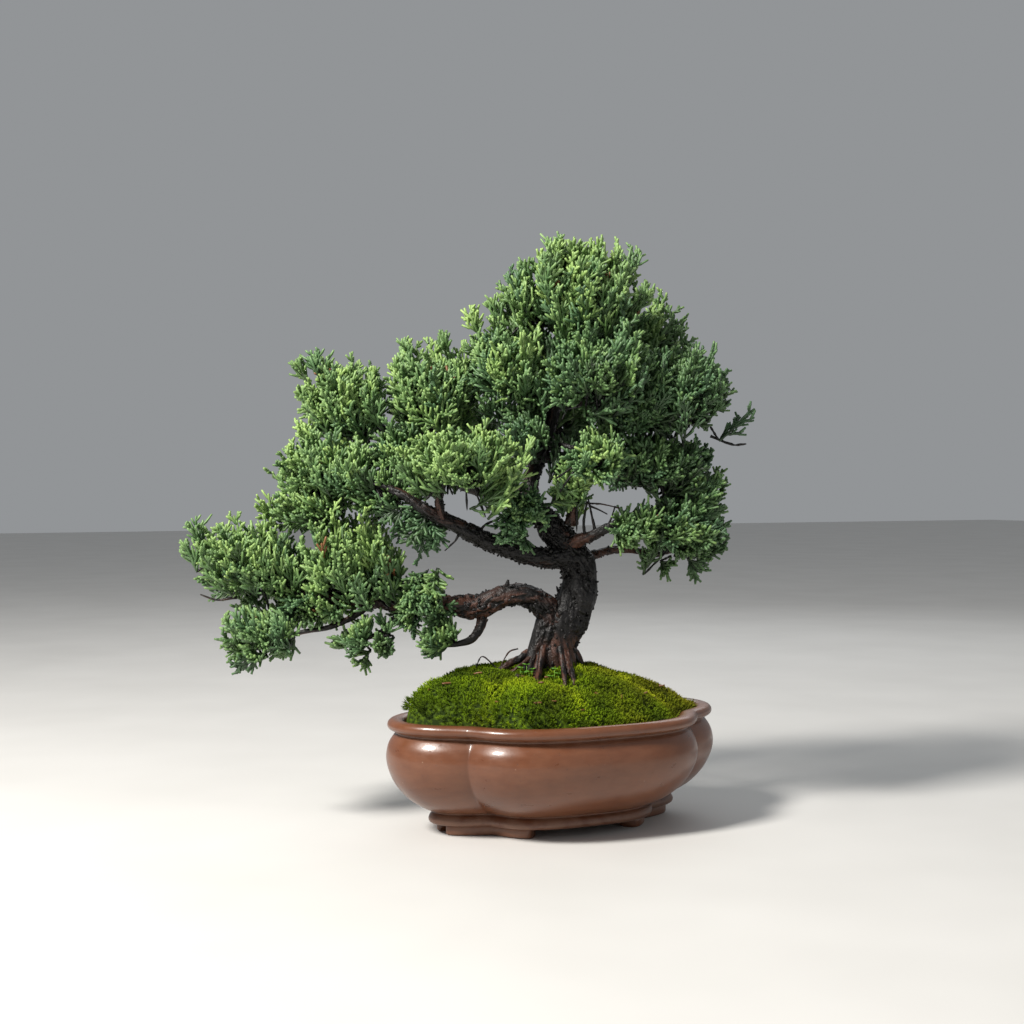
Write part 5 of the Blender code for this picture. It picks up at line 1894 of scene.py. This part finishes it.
# --------------------------------------------------------------------- studio
@dataclass
class Studio:
    """A pale floor, soft lights and the camera."""

    frame: Frame
    eye: Row = (-18.1, -679.0, 144.8)
    pitch: float = math.radians(1.1)
    lens: float = 56.25
    floor_half: float = 4.0

    def floor(self, material: bpy.types.Material) -> None:
        """A wide pale floor.

        Args:
            material: Its finish.
        """
        half = self.floor_half
        mesh = bpy.data.meshes.new("studio_floor")
        corners = [(-half, -half, 0), (half, -half, 0), (half, half, 0), (-half, half, 0)]
        mesh.from_pydata(corners, [], [(0, 1, 2, 3)])
        mesh.materials.append(material)
        piece = bpy.data.objects.new("studio_floor", mesh)
        bpy.context.scene.collection.objects.link(piece)

    def lamp(self, name: str, place: Row, power: float, size: float, colour: Colour) -> None:
        """One soft area light that faces the tree.

        Args:
            name: Its name.
            place: Across, away and up in the tree's frame, in millimetres.
            power: Watts.
            size: The side of its square, in metres.
            colour: Its colour.
        """
        data = bpy.data.lights.new(name, "AREA")
        data.energy, data.size, data.color = power, size, colour
        lamp = bpy.data.objects.new(name, data)
        bpy.context.scene.collection.objects.link(lamp)
        lamp.location = Vector(self.frame.to_world(np.array(place)))
        target = Vector(self.frame.to_world(np.array((-20.0, 0.0, 120.0))))
        lamp.rotation_euler = (target - lamp.location).to_track_quat("-Z", "Y").to_euler()

    def build(self, material: bpy.types.Material) -> None:
        """Set up the floor, the lights and the camera.

        Args:
            material: The floor's finish.
        """
        self.floor(material)
        self.lamp("key", (-620.0, -520.0, 820.0), 20.0, 0.22, (1.0, 0.965, 0.91))
        self.lamp("fill", (760.0, -700.0, 420.0), 0.35, 0.9, (0.90, 0.95, 1.0))
        self.lamp("back", (200.0, 800.0, 700.0), 2.0, 0.7, (0.95, 0.98, 1.0))
        bpy.context.scene.view_settings.view_transform = "Standard"
        world = bpy.data.worlds.new("studio")
        bpy.context.scene.world = world
        world.use_nodes = True
        sky = world.node_tree.nodes["Background"]
        sky.inputs["Color"].default_value = (0.80, 0.83, 0.86, 1.0)
        sky.inputs["Strength"].default_value = 0.36
        data = bpy.data.cameras.new("camera")
        data.lens, data.sensor_width = self.lens, 36.0
        data.clip_start, data.clip_end = 0.01, 50.0
        camera = bpy.data.objects.new("camera", data)
        bpy.context.scene.collection.objects.link(camera)
        place = np.array(self.eye)
        ahead = np.array((0.0, math.cos(self.pitch), -math.sin(self.pitch)))
        camera.location = Vector(self.frame.to_world(place))
        aim = Vector(self.frame.to_world(place + ahead * 100)) - camera.location
        camera.rotation_euler = aim.to_track_quat("-Z", "Y").to_euler()
        bpy.context.scene.camera = camera


# ----------------------------------------------------------------------- main
# Colour, how metallic it is, and roughness.
SCREEN_LOOK: tuple[Colour, float, float] = ((0.028, 0.028, 0.030), 0.0, 0.45)
WIRE_LOOK: tuple[Colour, float, float] = ((0.48, 0.36, 0.28), 1.0, 0.38)
# Dark and pale tones, and the size of a grain in millimetres.
GRIT_LOOK: tuple[Colour, Colour, float] = ((0.20, 0.15, 0.10), (0.56, 0.47, 0.36), 3.2)
EARTH_LOOK: tuple[Colour, Colour, float] = ((0.035, 0.020, 0.012), (0.16, 0.10, 0.06), 1.6)


def dress_fittings() -> None:
    """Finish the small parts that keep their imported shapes."""
    finishes = {
        "drain_screen_left": ("mesh_plastic", FittingFinish("mesh_plastic_finish", *SCREEN_LOOK)),
        "screen_clip_left": ("aluminium_wire", FittingFinish("wire_finish", *WIRE_LOOK)),
        "drainage_layer": ("grit", GrainFinish("grit_finish", *GRIT_LOOK)),
        "soil": ("earth", GrainFinish("earth_finish", *EARTH_LOOK)),
    }
    for name, (slot, finish) in finishes.items():
        material = finish.make()
        for node in (name, name.replace("_left", "_right")):
            solid = frame["nodes"][node]
            solid.data.materials.clear()
            solid.data.materials.append(material)
            log.info("%s: dressed", node)


def main() -> None:
    """Build the plant, piece by piece."""
    logging.basicConfig(level=logging.INFO, format="%(message)s")
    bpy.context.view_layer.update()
    shared = Frame()
    pot = Pot(frame=shared)
    pot.build(StonewareFinish("stoneware_finish").make())
    dress_fittings()
    moss = MossBed(pot)
    moss.build(MossFinish("moss_finish").make())
    bark = BarkFinish("bark_finish").make()
    wood = Wood(shared)
    wood.build(bark)
    leaves = FoliageFinish("foliage_finish").make()
    Foliage(shared).build(leaves, bark)
    details = Details(wood, moss)
    details.build_wood(bark)
    details.build_crust(bark)
    details.build_seedlings(SeedlingFinish("seedling_finish").make())
    details.build_litter(leaves)
    Studio(shared).build(FloorFinish("floor_finish").make())


if __name__ == "__main__":
    main()
